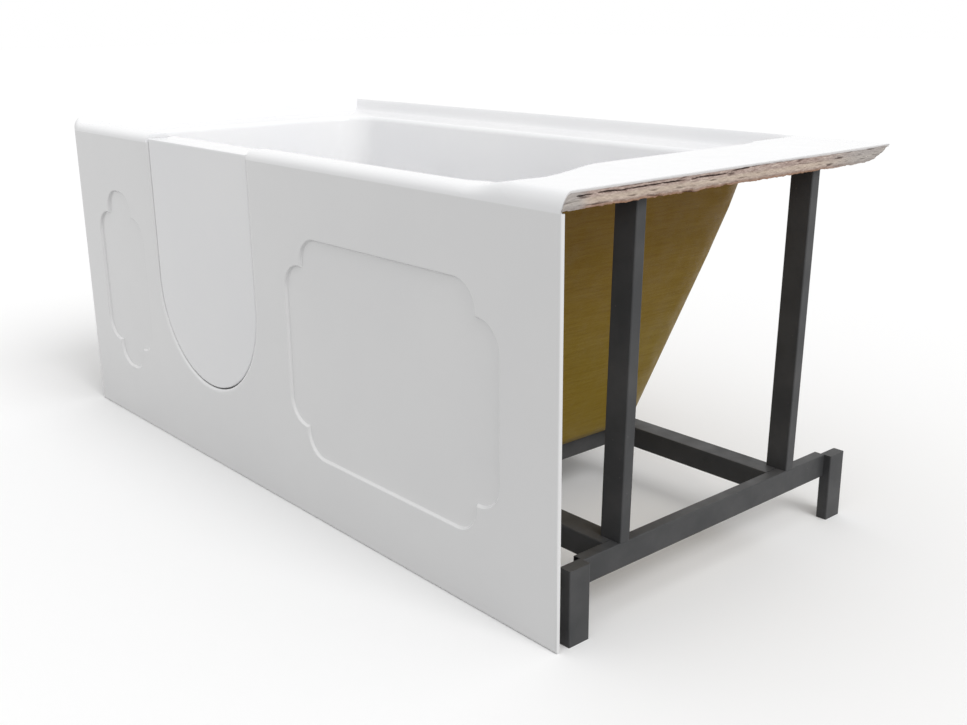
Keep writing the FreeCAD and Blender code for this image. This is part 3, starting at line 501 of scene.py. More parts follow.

# %% [markdown]
# The frame is sprayed with a dark grey semi-gloss paint, with a few small nicks, and a little
# dusty on top.

# %% Dark paint
tree, shader = new_finish("dark_paint")
tone = clouded_tone(tree, 12.0, (0.052, 0.053, 0.055), (0.074, 0.074, 0.075))
dust = effect(tree, dust_group, Scale=70.0, Amount=0.10)
tone = mixed(tree, dust, tone, (0.26, 0.255, 0.25))
nick = effect(tree, speck_group, Scale=55.0, Share=0.055)
put(mixed(tree, nick, tone, (0.20, 0.19, 0.18)), shader.inputs["Base Color"])
rough = effect(tree, cloud_group, Scale=25.0, Low=0.34, High=0.50)
put(maths(tree, "ADD", rough, dust), shader.inputs["Roughness"])
shader.inputs["Specular IOR Level"].default_value = 0.22
add_ripple(tree, shader, 60.0, 520.0, 0.35, 0.0004, 0.5)
print("finish ready: dark_paint")

# %% [markdown]
# Fittings: brushed stainless for the hinges, latch and brackets, chrome for the waste and the
# lever, satin grey plastic for the waste pipes, soft pale rubber for the seals, foam in the door
# and a black sheath on the cable.

# %% Metals
tree, shader = new_finish("bright_steel", 1.0)
brush = effect(tree, scratch_group, Scale=70.0, Low=0.35, High=0.65)
tone = mixed(tree, brush, (0.50, 0.50, 0.49), (0.66, 0.66, 0.65))
put(tone, shader.inputs["Base Color"])
put(span(tree, brush, 0.0, 1.0, 0.24, 0.40), shader.inputs["Roughness"])
add_bump(tree, shader, brush, 0.00008, 0.6)

tree, shader = new_finish("chrome", 1.0)
smudge = effect(tree, cloud_group, Scale=45.0, Low=0.0, High=1.0)
tone = mixed(tree, smudge, (0.80, 0.81, 0.83), (0.74, 0.75, 0.77))
put(tone, shader.inputs["Base Color"])
put(span(tree, smudge, 0.0, 1.0, 0.04, 0.13), shader.inputs["Roughness"])
add_ripple(tree, shader, 90.0, 900.0, 0.05, 0.0001, 0.3)
print("finishes ready: bright_steel, chrome")

# %% Plastics, rubber and foam
for slot, tones, roughness, ripple in (
    ("grey_plastic", (35.0, (0.30, 0.305, 0.31), (0.36, 0.365, 0.37)), (60.0, 0.38, 0.52),
     (120.0, 1400.0, 0.4, 0.0001, 0.6)),
    ("black_sheath", (60.0, (0.022, 0.022, 0.024), (0.040, 0.040, 0.042)), (90.0, 0.42, 0.58),
     (200.0, 1800.0, 0.4, 0.0001, 0.5)),
):
    tree, shader = new_finish(slot)
    paint(tree, shader, clouded_tone(tree, *tones), *roughness)
    add_ripple(tree, shader, *ripple)

tree, shader = new_finish("seal_rubber")
dust = effect(tree, dust_group, Scale=90.0, Amount=0.25)
tone = clouded_tone(tree, 50.0, (0.50, 0.51, 0.52), (0.58, 0.58, 0.585))
paint(tree, shader, mixed(tree, dust, tone, (0.68, 0.67, 0.65)), 80.0, 0.55, 0.72)
add_ripple(tree, shader, 150.0, 1600.0, 0.5, 0.0001, 0.7)

tree, shader = new_finish("rigid_foam")
pore = effect(tree, speck_group, Scale=620.0, Share=0.5)
tone = clouded_tone(tree, 25.0, (0.66, 0.58, 0.36), (0.76, 0.69, 0.47))
# the pores are darkened: painted shade in them
tone = mixed(tree, maths(tree, "MULTIPLY", pore, 0.4), tone, (0.45, 0.37, 0.20))
put(tone, shader.inputs["Base Color"])
shader.inputs["Roughness"].default_value = 0.92
add_bump(tree, shader, maths(tree, "MULTIPLY", pore, -1.0), 0.0003, 0.8)
print("finishes ready:", sorted(finishes))

# %% Dress the plain pieces
slot_of = {part["node"]: part["material_slot"] for part in frame["record"]["subparts"]}
for name, node in frame["nodes"].items():
    material = finishes[slot_of[name]]
    for holder in node.material_slots:
        holder.material = material
    if not node.material_slots:
        node.data.materials.append(material)
print("pieces dressed:", len(slot_of))

# %% [markdown]
# ## Helpers for meshes
# A mesh is shaped in a bmesh, the small modelling kit inside Blender. When it is done it becomes
# an object that rides on the body it belongs to, stands for the plain pieces it covers, and takes
# a finish. Faces are smooth, with a crease wherever two of them meet at more than a set angle.

# %% Mesh helpers
CREASE = 32.0


def place_piece(mesh, name, finish, body, stands_for=(), crease=CREASE):
    """Put a finished mesh in the scene as a piece of the tub."""
    for face in mesh.polygons:
        face.use_smooth = True
    mesh.set_sharp_from_angle(angle=math.radians(crease))
    mesh.materials.clear()
    mesh.materials.append(finishes[finish])
    piece = link(bpy.data.objects.new(name, mesh))
    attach(piece, body)
    if stands_for:
        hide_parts(*stands_for)
    print(name, "faces:", len(mesh.polygons))


def to_mesh(shape, name):
    """Turn a bmesh into a mesh and free it."""
    mesh = bpy.data.meshes.new(name)
    shape.to_mesh(mesh)
    shape.free()
    return mesh


def settled(mesh, modifiers):
    """The mesh after a list of modifiers, each a kind and its settings."""
    helper = link(bpy.data.objects.new("helper", mesh))
    for kind, settings in modifiers:
        modifier = helper.modifiers.new(kind, kind)
        for key, value in settings.items():
            setattr(modifier, key, value)
    bpy.context.view_layer.update()
    graph = bpy.context.evaluated_depsgraph_get()
    made = bpy.data.meshes.new_from_object(helper.evaluated_get(graph))
    bpy.data.objects.remove(helper)
    return made


def cutter(shape, name):
    """A closed shape that only serves to cut others."""
    return link(bpy.data.objects.new(name, to_mesh(shape, name)))


def open_edges(shape, test=lambda middle: True):
    """The edges with a face on one side only, where the middle passes a test."""
    return [
        edge for edge in shape.edges
        if edge.is_boundary and test((edge.verts[0].co + edge.verts[1].co) / 2)]


def grow(shape, edges, move):
    """Pull a strip of faces out of open edges and move its far side; returns the new edges."""
    pulled = bmesh.ops.extrude_edge_only(shape, edges=edges)["geom"]
    far = {item for item in pulled if isinstance(item, bmesh.types.BMVert)}
    for vert in far:
        vert.co = move(vert.co)
    return [
        edge for edge in shape.edges
        if edge.is_boundary and edge.verts[0] in far and edge.verts[1] in far]


def grid(shape, across=1, upward=1, size=1.0):
    """Add a flat grid of faces; returns its points."""
    return bmesh.ops.create_grid(
        shape, x_segments=across, y_segments=upward, size=size)["verts"]


def add_part(shape, part):
    """Put the faces of one bmesh in another and free it."""
    mesh = to_mesh(part, "part")
    shape.from_mesh(mesh)
    bpy.data.meshes.remove(mesh)


def smooth_step(value):
    """Eases from 0 to 1."""
    value = min(max(value, 0.0), 1.0)
    return value * value * (3 - 2 * value)


def quarter(steps, first=1):
    """Sine and cosine at even steps of a quarter turn."""
    for step in range(first, steps + 1):
        turn = math.radians(90) * step / steps
        yield math.sin(turn), math.cos(turn)


def inset(shape, faces, thickness, depth=0.0):
    """Inset faces by an even width, along open edges too."""
    bmesh.ops.inset_region(
        shape, faces=faces, thickness=thickness, depth=depth, use_even_offset=True,
        use_boundary=True)


def round_points(shape, points, radius, steps):
    """Round corner points of a flat face."""
    bmesh.ops.bevel(
        shape, geom=points, offset=radius, segments=steps, profile=0.5, affect="VERTICES",
        material=-1)


def face_out(shape):
    """Make the normals of a shape agree, outwards where it is closed."""
    bmesh.ops.recalc_face_normals(shape, faces=shape.faces[:])


def turn_front(face):
    """Turn one face to the front."""
    face.normal_update()
    if face.normal.y > 0:
        face.normal_flip()


def gauge(thickness, even=True):
    """A step that thickens a sheet away from its outer face."""
    return "SOLIDIFY", {"thickness": thickness, "offset": -1.0, "use_even_offset": even}


def cut_by(tools):
    """Steps that cut closed shapes out of a mesh."""
    settings = {"operation": "DIFFERENCE", "solver": "EXACT"}
    return [("BOOLEAN", {"object": tool, **settings}) for tool in tools]


# %% [markdown]
# ## The formed shell
# The real tub is one sheet of acrylic, heated and drawn into a mould, so it has no hard corner:
# the deck rolls over into the basin, the basin's walls lean out, and a cove joins them to the
# floor. It could be a box with bevels. Drawing it ring by ring from the floor outwards keeps
# every roll even, because each ring is a rectangle with round corners and the next one is only
# a little larger, higher or rounder.

# %% Outlines of the basin
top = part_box("tub_liner")[1].z
half_length = cad_high.x
half_width = cad_high.y
deck = top - 0.028
floor_level = deck - 0.482
front_wall = -half_width + 0.049
foot_ledge, foot_lean = 0.130, 0.020
head_ledge, head_lean = 0.160, 0.180
rear_ledge, rear_lean = 0.088, 0.062
floor_corner = 0.130
deck_corner = 0.070
cove = 0.013
deck_roll = 0.011
ROLL_STEPS = 6
WALL_STEPS = 6


def wall_outline(level, grow_by=0.0):
    """The basin's outline at a height: x0, x1, y0, y1, corner radius and the height."""
    rise = (level - floor_level) / (deck - floor_level)
    tuck = deck_roll * rise
    return (
        -half_length + foot_ledge + foot_lean * (1 - rise) - grow_by + tuck,
        half_length - head_ledge - head_lean * (1 - rise) + grow_by - tuck,
        front_wall - grow_by,
        half_width - rear_ledge - rear_lean * (1 - rise) + grow_by - tuck,
        floor_corner + (deck_corner - floor_corner) * rise + grow_by,
        level)


def remap(value, low0, high0, radius0, low1, high1, radius1):
    """Carry a coordinate from one rounded outline to another, corner to corner."""
    if value < low0 + radius0:
        return low1 + radius1 - (low0 + radius0 - value) * radius1 / radius0
    if value > high0 - radius0:
        return high1 - radius1 + (value - high0 + radius0) * radius1 / radius0
    share = (value - low0 - radius0) / (high0 - low0 - 2 * radius0)
    return low1 + radius1 + share * (high1 - low1 - 2 * radius1)


def outline_move(start, end):
    """A move from one outline to another, for grow."""
    def move(point):
        return Vector((
            remap(point.x, start[0], start[1], start[4], end[0], end[1], end[4]),
            remap(point.y, start[2], start[3], start[4], end[2], end[3], end[4]),
            end[5]))
    return move


outlines = []
for sine, cosine in quarter(ROLL_STEPS, 0):
    outlines.append(wall_outline(floor_level + cove * (1 - cosine), -cove * (1 - sine)))
wall_foot = floor_level + cove
for step in range(1, WALL_STEPS + 1):
    share = step / WALL_STEPS
    outlines.append(wall_outline(wall_foot + (deck - deck_roll - floor_level - cove) * share))
for sine, cosine in quarter(ROLL_STEPS):
    outlines.append(wall_outline(deck - deck_roll + deck_roll * sine, deck_roll * (1 - cosine)))
outlines.append((-half_length, half_length, -half_width, half_width, 0.003, deck))
print("rings from the floor to the deck's edge:", len(outlines))

# %% Grow the rings
CORNER_STEPS = 14
SIDE_CUTS = 15
shell = bmesh.new()
grid(shell)
first = outlines[0]
for vert in shell.verts:
    vert.co.x = first[0] if vert.co.x < 0 else first[1]
    vert.co.y = first[2] if vert.co.y < 0 else first[3]
    vert.co.z = first[5]
round_points(shell, shell.verts[:], first[4], CORNER_STEPS)
sides = [edge for edge in shell.edges if edge.calc_length() > first[4]]
bmesh.ops.subdivide_edges(shell, edges=sides, cuts=SIDE_CUTS)
floor_face = max(shell.faces, key=lambda face: face.calc_area())
inset(shell, [floor_face], 0.02)
ring = open_edges(shell)
for start, end in zip(outlines[:-1], outlines[1:]):
    ring = grow(shell, ring, outline_move(start, end))
face_out(shell)
up = max(shell.faces, key=lambda face: face.calc_area())
if up.normal.z < 0:
    bmesh.ops.reverse_faces(shell, faces=shell.faces[:])
print("faces so far:", len(shell.faces))

# %% [markdown]
# ## Rim, lip and end platform
# Around the basin the sheet isn't flat. A lip stands up along the left and rear, where it is
# tiled over, a rounded rim runs along the front, and at the right the deck swells up to a broad
# platform. One function gives the height of the sheet at any place, so the parts run into each
# other as they do in a mould. The sheet is first cut along lines wherever it is going to bend.

# %% Raise the deck
rim_rise = 0.016
lip_rise = top - deck
rim_inner = -0.290
rim_slope = 0.034
rim_round = 0.017
ramp_start = 0.515
ramp_length = 0.062
front_ramp_start = 0.562
front_ramp_length = 0.085
ramp_ease_from = -0.080
ramp_ease = 0.240
lip_stations = (0.0, 0.0008, 0.0022, 0.0045, 0.0060, 0.0078, 0.0100, 0.0130, 0.0170, 0.0220)
lip_share = (0.90, 0.97, 1.0, 1.0, 0.93, 0.72, 0.46, 0.22, 0.07, 0.0)
RAMP_CUTS = 22
EASE_CUTS = 14
RIM_STEPS = 6
SLOPE_CUTS = 4


def cut_line(point, normal):
    """Add a row of points where a plane crosses the flat deck."""
    faces = [face for face in shell.faces if face.calc_center_median().z > deck - 0.00001]
    edges = {edge for face in faces for edge in face.edges}
    verts = {vert for face in faces for vert in face.verts}
    geom = list(verts) + list(edges) + faces
    bmesh.ops.bisect_plane(shell, geom=geom, dist=0.00001, plane_co=point, plane_no=normal)


def lip_profile(distance):
    """How much of the lip's height the sheet has at a distance from the tub's edge."""
    for index in range(len(lip_stations) - 1):
        near, far = lip_stations[index], lip_stations[index + 1]
        if distance <= far:
            share = (distance - near) / (far - near)
            return lip_share[index] + share * (lip_share[index + 1] - lip_share[index])
    return 0.0


def sheet_rise(x, y):
    """How far the sheet stands above the plain deck."""
    front_share = smooth_step((rim_inner - y) / rim_slope)
    ease = smooth_step((ramp_ease_from - y) / ramp_ease)
    start = ramp_start + (front_ramp_start - ramp_start) * ease
    length = ramp_length + (front_ramp_length - ramp_length) * ease
    ramp = smooth_step((x - start) / length)
    rise = rim_rise * front_share
    rise += (lip_rise - rise) * ramp
    lip = max(lip_profile(x + half_length), lip_profile(half_width - y))
    rise += (lip_rise - rise) * lip
    from_front = (y + half_width) / rim_round
    if from_front < 1:
        rise *= math.sqrt(1 - (1 - max(0.0, from_front)) ** 2)
    return rise


for station in lip_stations[1:]:
    cut_line((-half_length + station, 0, 0), (1, 0, 0))
    cut_line((0, half_width - station, 0), (0, 1, 0))
for sine, cosine in quarter(RIM_STEPS):
    cut_line((0, -half_width + rim_round * (1 - cosine), 0), (0, 1, 0))
ramp_reach = front_ramp_start + front_ramp_length - ramp_start
for step in range(RAMP_CUTS + 1):
    cut_line((ramp_start + ramp_reach * step / RAMP_CUTS, 0, 0), (1, 0, 0))
for step in range(SLOPE_CUTS + 1):
    cut_line((0, rim_inner - rim_slope * step / SLOPE_CUTS, 0), (0, 1, 0))
for step in range(EASE_CUTS + 1):
    cut_line((0, ramp_ease_from - ramp_ease * step / EASE_CUTS, 0), (0, 1, 0))
for vert in shell.verts:
    weight = 1.0
    if vert.co.z < deck - 0.00001:
        weight = (vert.co.z - floor_level) / (deck - floor_level)
    vert.co.z += sheet_rise(vert.co.x, vert.co.y) * weight
print("highest point:", round(max(vert.co.z for vert in shell.verts), 4))

# %% [markdown]
# ## Edge, thickness and openings
# The sheet turns down at its edges and is 3.5 mm thick. The edge is pulled down first and
# Solidify thickens it after, so the gauge is even everywhere. The doorway, the waste hole and
# the overflow hole were cut after forming, so here too they are cut last, with closed shapes.

# %% Edge and thickness
NEAR = 0.0001
sheet = 0.0035
front_tuck = 0.0040
wall_hem = deck - 0.007
end_hem = top - 0.0050
hem_rise_start = 0.620
hem_rise_length = 0.120


def hem_move(point):
    """Turn the sheet's edge down: behind the skirt at the front, less and less to the right."""
    if point.y < -half_width + NEAR:
        return Vector((point.x, point.y + front_tuck, deck - front_tuck))
    share = smooth_step((point.x - hem_rise_start) / hem_rise_length)
    level = wall_hem + (end_hem - wall_hem) * share
    return Vector((point.x, point.y, min(point.z - 0.0010, level)))


sawn_end = half_length - NEAR
grow(shell, open_edges(shell, lambda middle: middle.x < sawn_end), hem_move)
shell_mesh = to_mesh(shell, "tub_shell")
print("faces of the sheet:", len(shell_mesh.polygons))

# %% The doorway's place
door_low, door_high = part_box("door_outer_panel")
door_x = (door_low.x + door_high.x) / 2
door_radius = (door_high.x - door_low.x) / 2
arch_z = door_low.z + door_radius
DOOR_ARC = 48


def face_front(shape):
    """Turn all the faces of a flat sheet to the front."""
    face_out(shape)
    if shape.faces[:][0].normal.y > 0:
        bmesh.ops.reverse_faces(shape, faces=shape.faces[:])


def u_plate(radius, top_z, y):
    """A flat plate with the doorway's outline, a half circle below and straight above."""
    shape = bmesh.new()
    grid(shape)
    for vert in shape.verts:
        side = 1 if vert.co.x > 0 else -1
        level = top_z if vert.co.y > 0 else arch_z - radius
        vert.co = Vector((door_x + side * radius, y, level))
    low = [vert for vert in shape.verts if vert.co.z < arch_z]
    round_points(shape, low, radius * 0.9999, DOOR_ARC)
    bmesh.ops.remove_doubles(shape, verts=shape.verts[:], dist=0.0002)
    face_front(shape)
    return shape


def thicken(shape, move):
    """Pull the faces of a plate out along a vector into a closed block."""
    pulled = bmesh.ops.extrude_face_region(shape, geom=shape.faces[:])["geom"]
    verts = [item for item in pulled if isinstance(item, bmesh.types.BMVert)]
    bmesh.ops.translate(shape, verts=verts, vec=move)
    face_out(shape)
    return shape


def round_cutter(name, centre, axis, radius, length):
    """A closed round bar that cuts a hole."""
    shape = bmesh.new()
    bmesh.ops.create_cone(
        shape, cap_ends=True, segments=64, radius1=radius, radius2=radius, depth=length)
    turn = Vector(axis).to_track_quat("Z", "Y").to_matrix()
    bmesh.ops.rotate(shape, verts=shape.verts[:], matrix=turn)
    bmesh.ops.translate(shape, verts=shape.verts[:], vec=centre)
    return cutter(shape, name)


print("doorway:", round(door_x, 4), "radius", round(door_radius, 4), "centre", round(arch_z, 4))

# %% Cut the sheet
doorway_radius = door_radius + 0.0057
drain_hole = 0.0285
overflow_hole = 0.0255
overflow_axis = (1, 0, 0.0415)
plug_low, plug_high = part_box("drain_plug")
drain = Vector(((plug_low.x + plug_high.x) / 2, (plug_low.y + plug_high.y) / 2, floor_level))
plate_low, plate_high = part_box("overflow_plate")
overflow = (plate_low + plate_high) / 2
doorway = u_plate(doorway_radius, top + 0.02, -half_width - 0.02)
cuts = [
    cutter(thicken(doorway, (0, 0.080, 0)), "doorway_cut"),
    round_cutter("drain_cut", drain, (0, 0, 1), drain_hole, 0.05),
    round_cutter("overflow_cut", overflow, overflow_axis, overflow_hole, 0.06),
]
shell_cut = settled(shell_mesh, [gauge(sheet, even=False)] + cut_by(cuts))
place_piece(shell_cut, "tub_shell", "white_acrylic", "tub", ["tub_liner"])

# %% [markdown]
# ## The lining of the doorway
# Where the rim and the wall are sawn through for the door, the maker closes the cut with a white
# strip, so that the brown glass fibre doesn't show. It follows the doorway's outline, and its
# upper ends follow the rim.

# %% Doorway lining
lining_radius = doorway_radius - 0.0006
lining_gauge = 0.0025
LINING_STATIONS = (
    -0.3690, -0.3660, -0.3630, -0.3450, -0.3400, -0.3370, -0.3345, -0.3320, -0.3295)
shape = u_plate(lining_radius, deck + rim_rise, -half_width + 0.0035)
bmesh.ops.delete(shape, geom=shape.faces[:], context="FACES_ONLY")
lowest = deck + rim_rise - 0.001
top_bar = [edge for edge in shape.edges if min(vert.co.z for vert in edge.verts) >= lowest]
bmesh.ops.delete(shape, geom=top_bar, context="EDGES")
edges = shape.edges[:]
for back in LINING_STATIONS:
    edges = grow(shape, edges, lambda point: Vector((point.x, back, point.z)))
for vert in shape.verts:
    if vert.co.z > lowest:
        vert.co.z = deck + sheet_rise(vert.co.x, vert.co.y) - 0.0010
face_out(shape)
for face in shape.faces:
    middle = face.calc_center_median()
    inward = Vector((door_x - middle.x, 0, max(arch_z, middle.z) - middle.z))
    if face.normal.dot(inward) < 0:
        face.normal_flip()
lining = settled(to_mesh(shape, "doorway_lining"), [gauge(lining_gauge)])
place_piece(lining, "doorway_lining", "white_acrylic", "tub")

# %% [markdown]
# ## The resin back
# The glass fibre follows every curve of the acrylic it was sprayed on. So it is the same sheet
# again, moved down by the acrylic's thickness and thickened, which keeps the two together in
# every roll. It stops short of the edges, where the sheet was trimmed, and at the right end,
# where the board lies straight under the acrylic.

# %% Resin back
acrylic_gauge = 0.0036
resin_gauge = 0.0050
floor_gauge = 0.0084
trim = 0.016
board_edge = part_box("end_board")[0].x
back = bmesh.new()
back.from_mesh(shell_mesh)
outside = [
    vert for vert in back.verts
    if vert.co.x < -half_length + trim or vert.co.x > board_edge + 0.001
    or vert.co.y > half_width - trim or vert.co.y < -half_width + 0.006]
bmesh.ops.delete(back, geom=outside, context="VERTS")
back.normal_update()
moved = [vert.co - vert.normal * acrylic_gauge for vert in back.verts]
for vert, place in zip(back.verts, moved):
    vert.co = place
back_mesh = settled(to_mesh(back, "resin_back"), [gauge(resin_gauge)])
lowest = min(vert.co.z for vert in back_mesh.vertices)
for vert in back_mesh.vertices:
    share = 1 - smooth_step((vert.co.z - lowest) / 0.0035)
    vert.co.z -= (floor_gauge - resin_gauge) * share
print("lowest resin:", round(min(vert.co.z for vert in back_mesh.vertices), 4))
back_mesh = settled(back_mesh, cut_by(cuts))
place_piece(back_mesh, "resin_back", "glass_fibre", "tub", ["tub_backing"], crease=40.0)

# %% [markdown]
# ## The front skirt
# The skirt is one moulded sheet with two sunk panels whose corners have a double shoulder, and
# the doorway cut out of it. The step into a panel is a soft S, not a sharp edge, which is why
# it reads as a dark line above and a bright line below. Each panel starts as a grid with its
# corner squares taken out, its points are rounded by a vertex bevel, and insets make the S.

# %% Sizes of the skirt
skirt_face = -half_width
skirt_top = deck
skirt_opening = door_radius + 0.002
panel_shoulder = 0.050
panel_low = 0.116
panel_high = deck - 0.110
big_panel = (door_x + door_radius + 0.106, half_length - 0.116)
small_right = door_x - door_radius - 0.059
small_panel = (small_right - 0.012 - 4 * panel_shoulder, small_right)
SHOULDER_STEPS = 16
panel_edge = 0.0022
panel_steps = (
    (0.0006, 0.0), (0.0008, -0.0004), (0.0008, -0.0011), (0.0007, -0.0015),
    (0.0007, -0.0012), (0.0008, -0.0005), (0.0030, 0.0))


def notched_panel(shape, x0, x1, z0, z1, notch):
    """A flat face with a square notch at each corner and round shoulders."""
    made = grid(shape, 3, 3, 1.5)
    across = (x0, x0 + notch, x1 - notch, x1)
    upward = (z0, z0 + notch, z1 - notch, z1)
    for vert in made:
        vert.co = Vector((
            across[round(vert.co.x + 1.5)], skirt_face, upward[round(vert.co.y + 1.5)]))
    faces = {face for vert in made for face in vert.link_faces}
    corners = [face for face in faces if face.calc_area() < notch * notch * 1.01]
    bmesh.ops.delete(shape, geom=corners, context="FACES")
    faces = list(faces - set(corners))
    whole = bmesh.ops.dissolve_faces(shape, faces=faces, use_verts=False)["region"][0]
    points = [
        vert for vert in whole.verts
        if (abs(vert.co.x - x0) < NEAR or abs(vert.co.x - x1) < NEAR)
        != (abs(vert.co.z - z0) < NEAR or abs(vert.co.z - z1) < NEAR)]
    round_points(shape, points, notch * 0.9995, SHOULDER_STEPS)
    print("points rounded in a panel:", len(points))


# %% Make the panels
skirt = bmesh.new()
for x0, x1 in (big_panel, small_panel):
    part = bmesh.new()
    notched_panel(
        part, x0 - panel_edge, x1 + panel_edge, panel_low - panel_edge,
        panel_high + panel_edge, panel_shoulder)
    bmesh.ops.remove_doubles(part, verts=part.verts[:], dist=0.0002)
    face = part.faces[:][0]
    turn_front(face)
    inset(part, [face], panel_edge)
    for inward, sunk in panel_steps:
        inset(part, [face], inward, sunk)
    add_part(skirt, part)
print("faces in the two panels:", len(skirt.faces))

# %% [markdown]
# The sheet around the panels is filled in from its outline. Its edges are rolled back, the
# doorway's more than the others, because a hand and a foot pass over them.

# %% Fill the sheet around the panels
door_roll = 0.0060
roll_depth = 0.0048
edge_roll = 0.0020
skirt_gauge = 0.0030
outline_radius = skirt_opening + door_roll
frame_part = bmesh.new()
made = grid(frame_part, 3, 2)
across = (
    -half_length + edge_roll, door_x - outline_radius, door_x + outline_radius,
    half_length - edge_roll)
upward = (edge_roll, arch_z - outline_radius, skirt_top)
for vert in made:
    column = round((vert.co.x + 1.0) * 1.5)
    row = round(vert.co.y + 1.0)
    vert.co = Vector((across[column], skirt_face, upward[row]))
middle = [
    face for face in frame_part.faces
    if abs(face.calc_center_median().x - door_x) < 0.01 and face.calc_center_median().z > 0.3]
bmesh.ops.delete(frame_part, geom=middle, context="FACES")
bmesh.ops.dissolve_faces(frame_part, faces=frame_part.faces[:], use_verts=False)
inner = [
    vert for vert in frame_part.verts
    if abs(abs(vert.co.x - door_x) - outline_radius) < NEAR and vert.co.z < skirt_top - 0.01]
round_points(frame_part, inner, outline_radius * 0.9999, DOOR_ARC)
bmesh.ops.remove_doubles(frame_part, verts=frame_part.verts[:], dist=0.0002)
face_front(frame_part)
inset(frame_part, frame_part.faces[:], 0.0020)
whole = max(frame_part.faces, key=lambda face: face.calc_area())
bmesh.ops.delete(frame_part, geom=[whole], context="FACES_ONLY")
add_part(skirt, frame_part)
outline_edges = {
    edge for edge in skirt.edges if edge.is_boundary
    and (min(abs(edge.verts[0].co.x), abs(edge.verts[1].co.x)) > half_length - edge_roll - NEAR
         or max(vert.co.z for vert in edge.verts) < edge_roll + NEAR
         or min(vert.co.z for vert in edge.verts) > skirt_top - NEAR
         or all(math.hypot(vert.co.x - door_x, min(0.0, vert.co.z - arch_z))
                < outline_radius + 0.0003 for vert in edge.verts))}
seam = [edge for edge in skirt.edges if edge.is_boundary and edge not in outline_edges]
filled = bmesh.ops.triangle_fill(skirt, use_beauty=True, edges=seam, normal=(0, -1, 0))
flat = [item for item in filled["geom"] if isinstance(item, bmesh.types.BMFace)]
for face in flat:
    turn_front(face)
bmesh.ops.join_triangles(
    skirt, faces=flat, angle_face_threshold=3.0, angle_shape_threshold=3.0)
print("edges to roll:", len(outline_edges), "faces:", len(skirt.faces))


# %% Roll the edges back
def skirt_edge(radius_drop, sides_out, back):
    """A move for the rolled edges: doorway inwards, sides outwards, all of it back."""
    def move(point):
        x, z = point.x, point.z
        if abs(x) > half_length - 0.0060:
            x = math.copysign(half_length - edge_roll + sides_out, x)
        if z < 0.0060:
            z = edge_roll - sides_out
        reach = math.hypot(x - door_x, min(0.0, z - arch_z))
        if reach < outline_radius + 0.001:
            share = (outline_radius - radius_drop) / reach
            x = door_x + (x - door_x) * share
            if z < arch_z:
                z = arch_z + (z - arch_z) * share
        return Vector((x, skirt_face + back, z))
    return move


ring = list(outline_edges)
ROUND_STEPS = 5
for sine, cosine in quarter(ROUND_STEPS):
    move = skirt_edge(door_roll * sine, edge_roll * sine, roll_depth * (1 - cosine))
    ring = grow(skirt, ring, move)
grow(skirt, ring, skirt_edge(door_roll, edge_roll, roll_depth + 0.0005))
skirt_mesh = settled(to_mesh(skirt, "front_sheet"), [gauge(skirt_gauge, even=False)])
place_piece(
    skirt_mesh, "front_sheet", "shaded_skirt_acrylic", "tub", ["front_skirt"])

# %% [markdown]
# ## The door's face
# The door is a U-shaped pan. Its face stands a little behind the skirt's, with a rounded edge,
# so a thin shadow runs round it. The plate with the doorway's outline is inset and raised in a
# few steps for the round edge, and its rim is pulled back for the pan's side.

# %% Door face
door_round = 0.0025
side_front = door_low.y + door_round
face_plate = u_plate(door_radius, door_high.z, side_front)
face = face_plate.faces[:][0]
last_sine, last_cosine = 0.0, 1.0
for sine, cosine in quarter(ROUND_STEPS):
    inset(face_plate, [face], door_round * (last_cosine - cosine), door_round * (sine - last_sine))
    last_sine, last_cosine = sine, cosine
inset(face_plate, [face], 0.003)
ring = open_edges(face_plate)
for back in (side_front + 0.001, door_high.y - 0.001, door_high.y):
    ring = grow(face_plate, ring, lambda point: Vector((point.x, back, point.z)))
door_mesh = settled(to_mesh(face_plate, "door_face"), [gauge(sheet)])
place_piece(door_mesh, "door_face", "white_acrylic", "door", ["door_outer_panel"])

# %% [markdown]
# ## The raw end
# The right end of the deck was sawn off, and the saw shows what it is made of: a thin line of
# acrylic on top, a fibrous board under it, and a long crack where two layers of the board come
# apart. A bump map could paint the crack, but the board's broken lower edge shows against the
# background, so the end is a fine grid of points, pushed in and out by noise. Each point also
# keeps how high in the board it is, how worn it is, and how much painted shade the finish puts
# on it in the crack and in the pits.

# %% Shape of the raw end
board_low, board_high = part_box("end_board")
END_COLUMNS = 620
END_ROWS = 30
front_end = -half_width + 0.0008
rear_end = half_width - 0.0006
crack_reach = 0.0065
pit_reach = 0.0016
skin = 0.0009
end_proud = 0.0007
tip_start, tip_length, tip_rise = 0.285, 0.090, 0.024


def rough(place, size, seed):
    """Smooth noise between about -1 and 1."""
    return noise.noise(Vector((place[0] / size, place[1] / size, seed)))


def rough_line(y, size, seed):
    """The same noise along the end only."""
    return rough((y, 0), size, seed)


def bottom_edge(y):
    """Height of the board's broken lower edge along the end."""
    level = board_low.z - 0.0004
    level += 0.0014 * rough_line(y, 0.034, 1.0) + 0.0012 * rough_line(y, 0.011, 2.0)
    level += 0.0009 * rough_line(y, 0.004, 3.0)
    level -= 0.0022 * max(0.0, 1 - abs(y + 0.118) / 0.012)
    if y > tip_start:
        level += tip_rise * ((y - tip_start) / tip_length) ** 2.5
    return level


def crack_height(y):
    """Height of the middle of the crack, which runs out into the top layer."""
    rise = smooth_step((y + 0.10) / 0.15)
    level = top - 0.0088 + 0.0052 * rise
    return level + 0.0014 * rough_line(y, 0.040, 5.0) + 0.0010 * rough_line(y, 0.013, 6.0)


def crack_depth(y):
    """How far the crack is open, from 0 to 1: wide at the front, dying out to the rear."""
    reach = smooth_step((y + 0.352) / 0.012) * (1.0 - smooth_step((y + 0.06) / 0.22))
    broken = 0.62 + 1.1 * rough_line(y, 0.030, 8.0) + 0.5 * rough_line(y, 0.008, 9.0)
    return reach * min(1.0, max(0.0, broken))


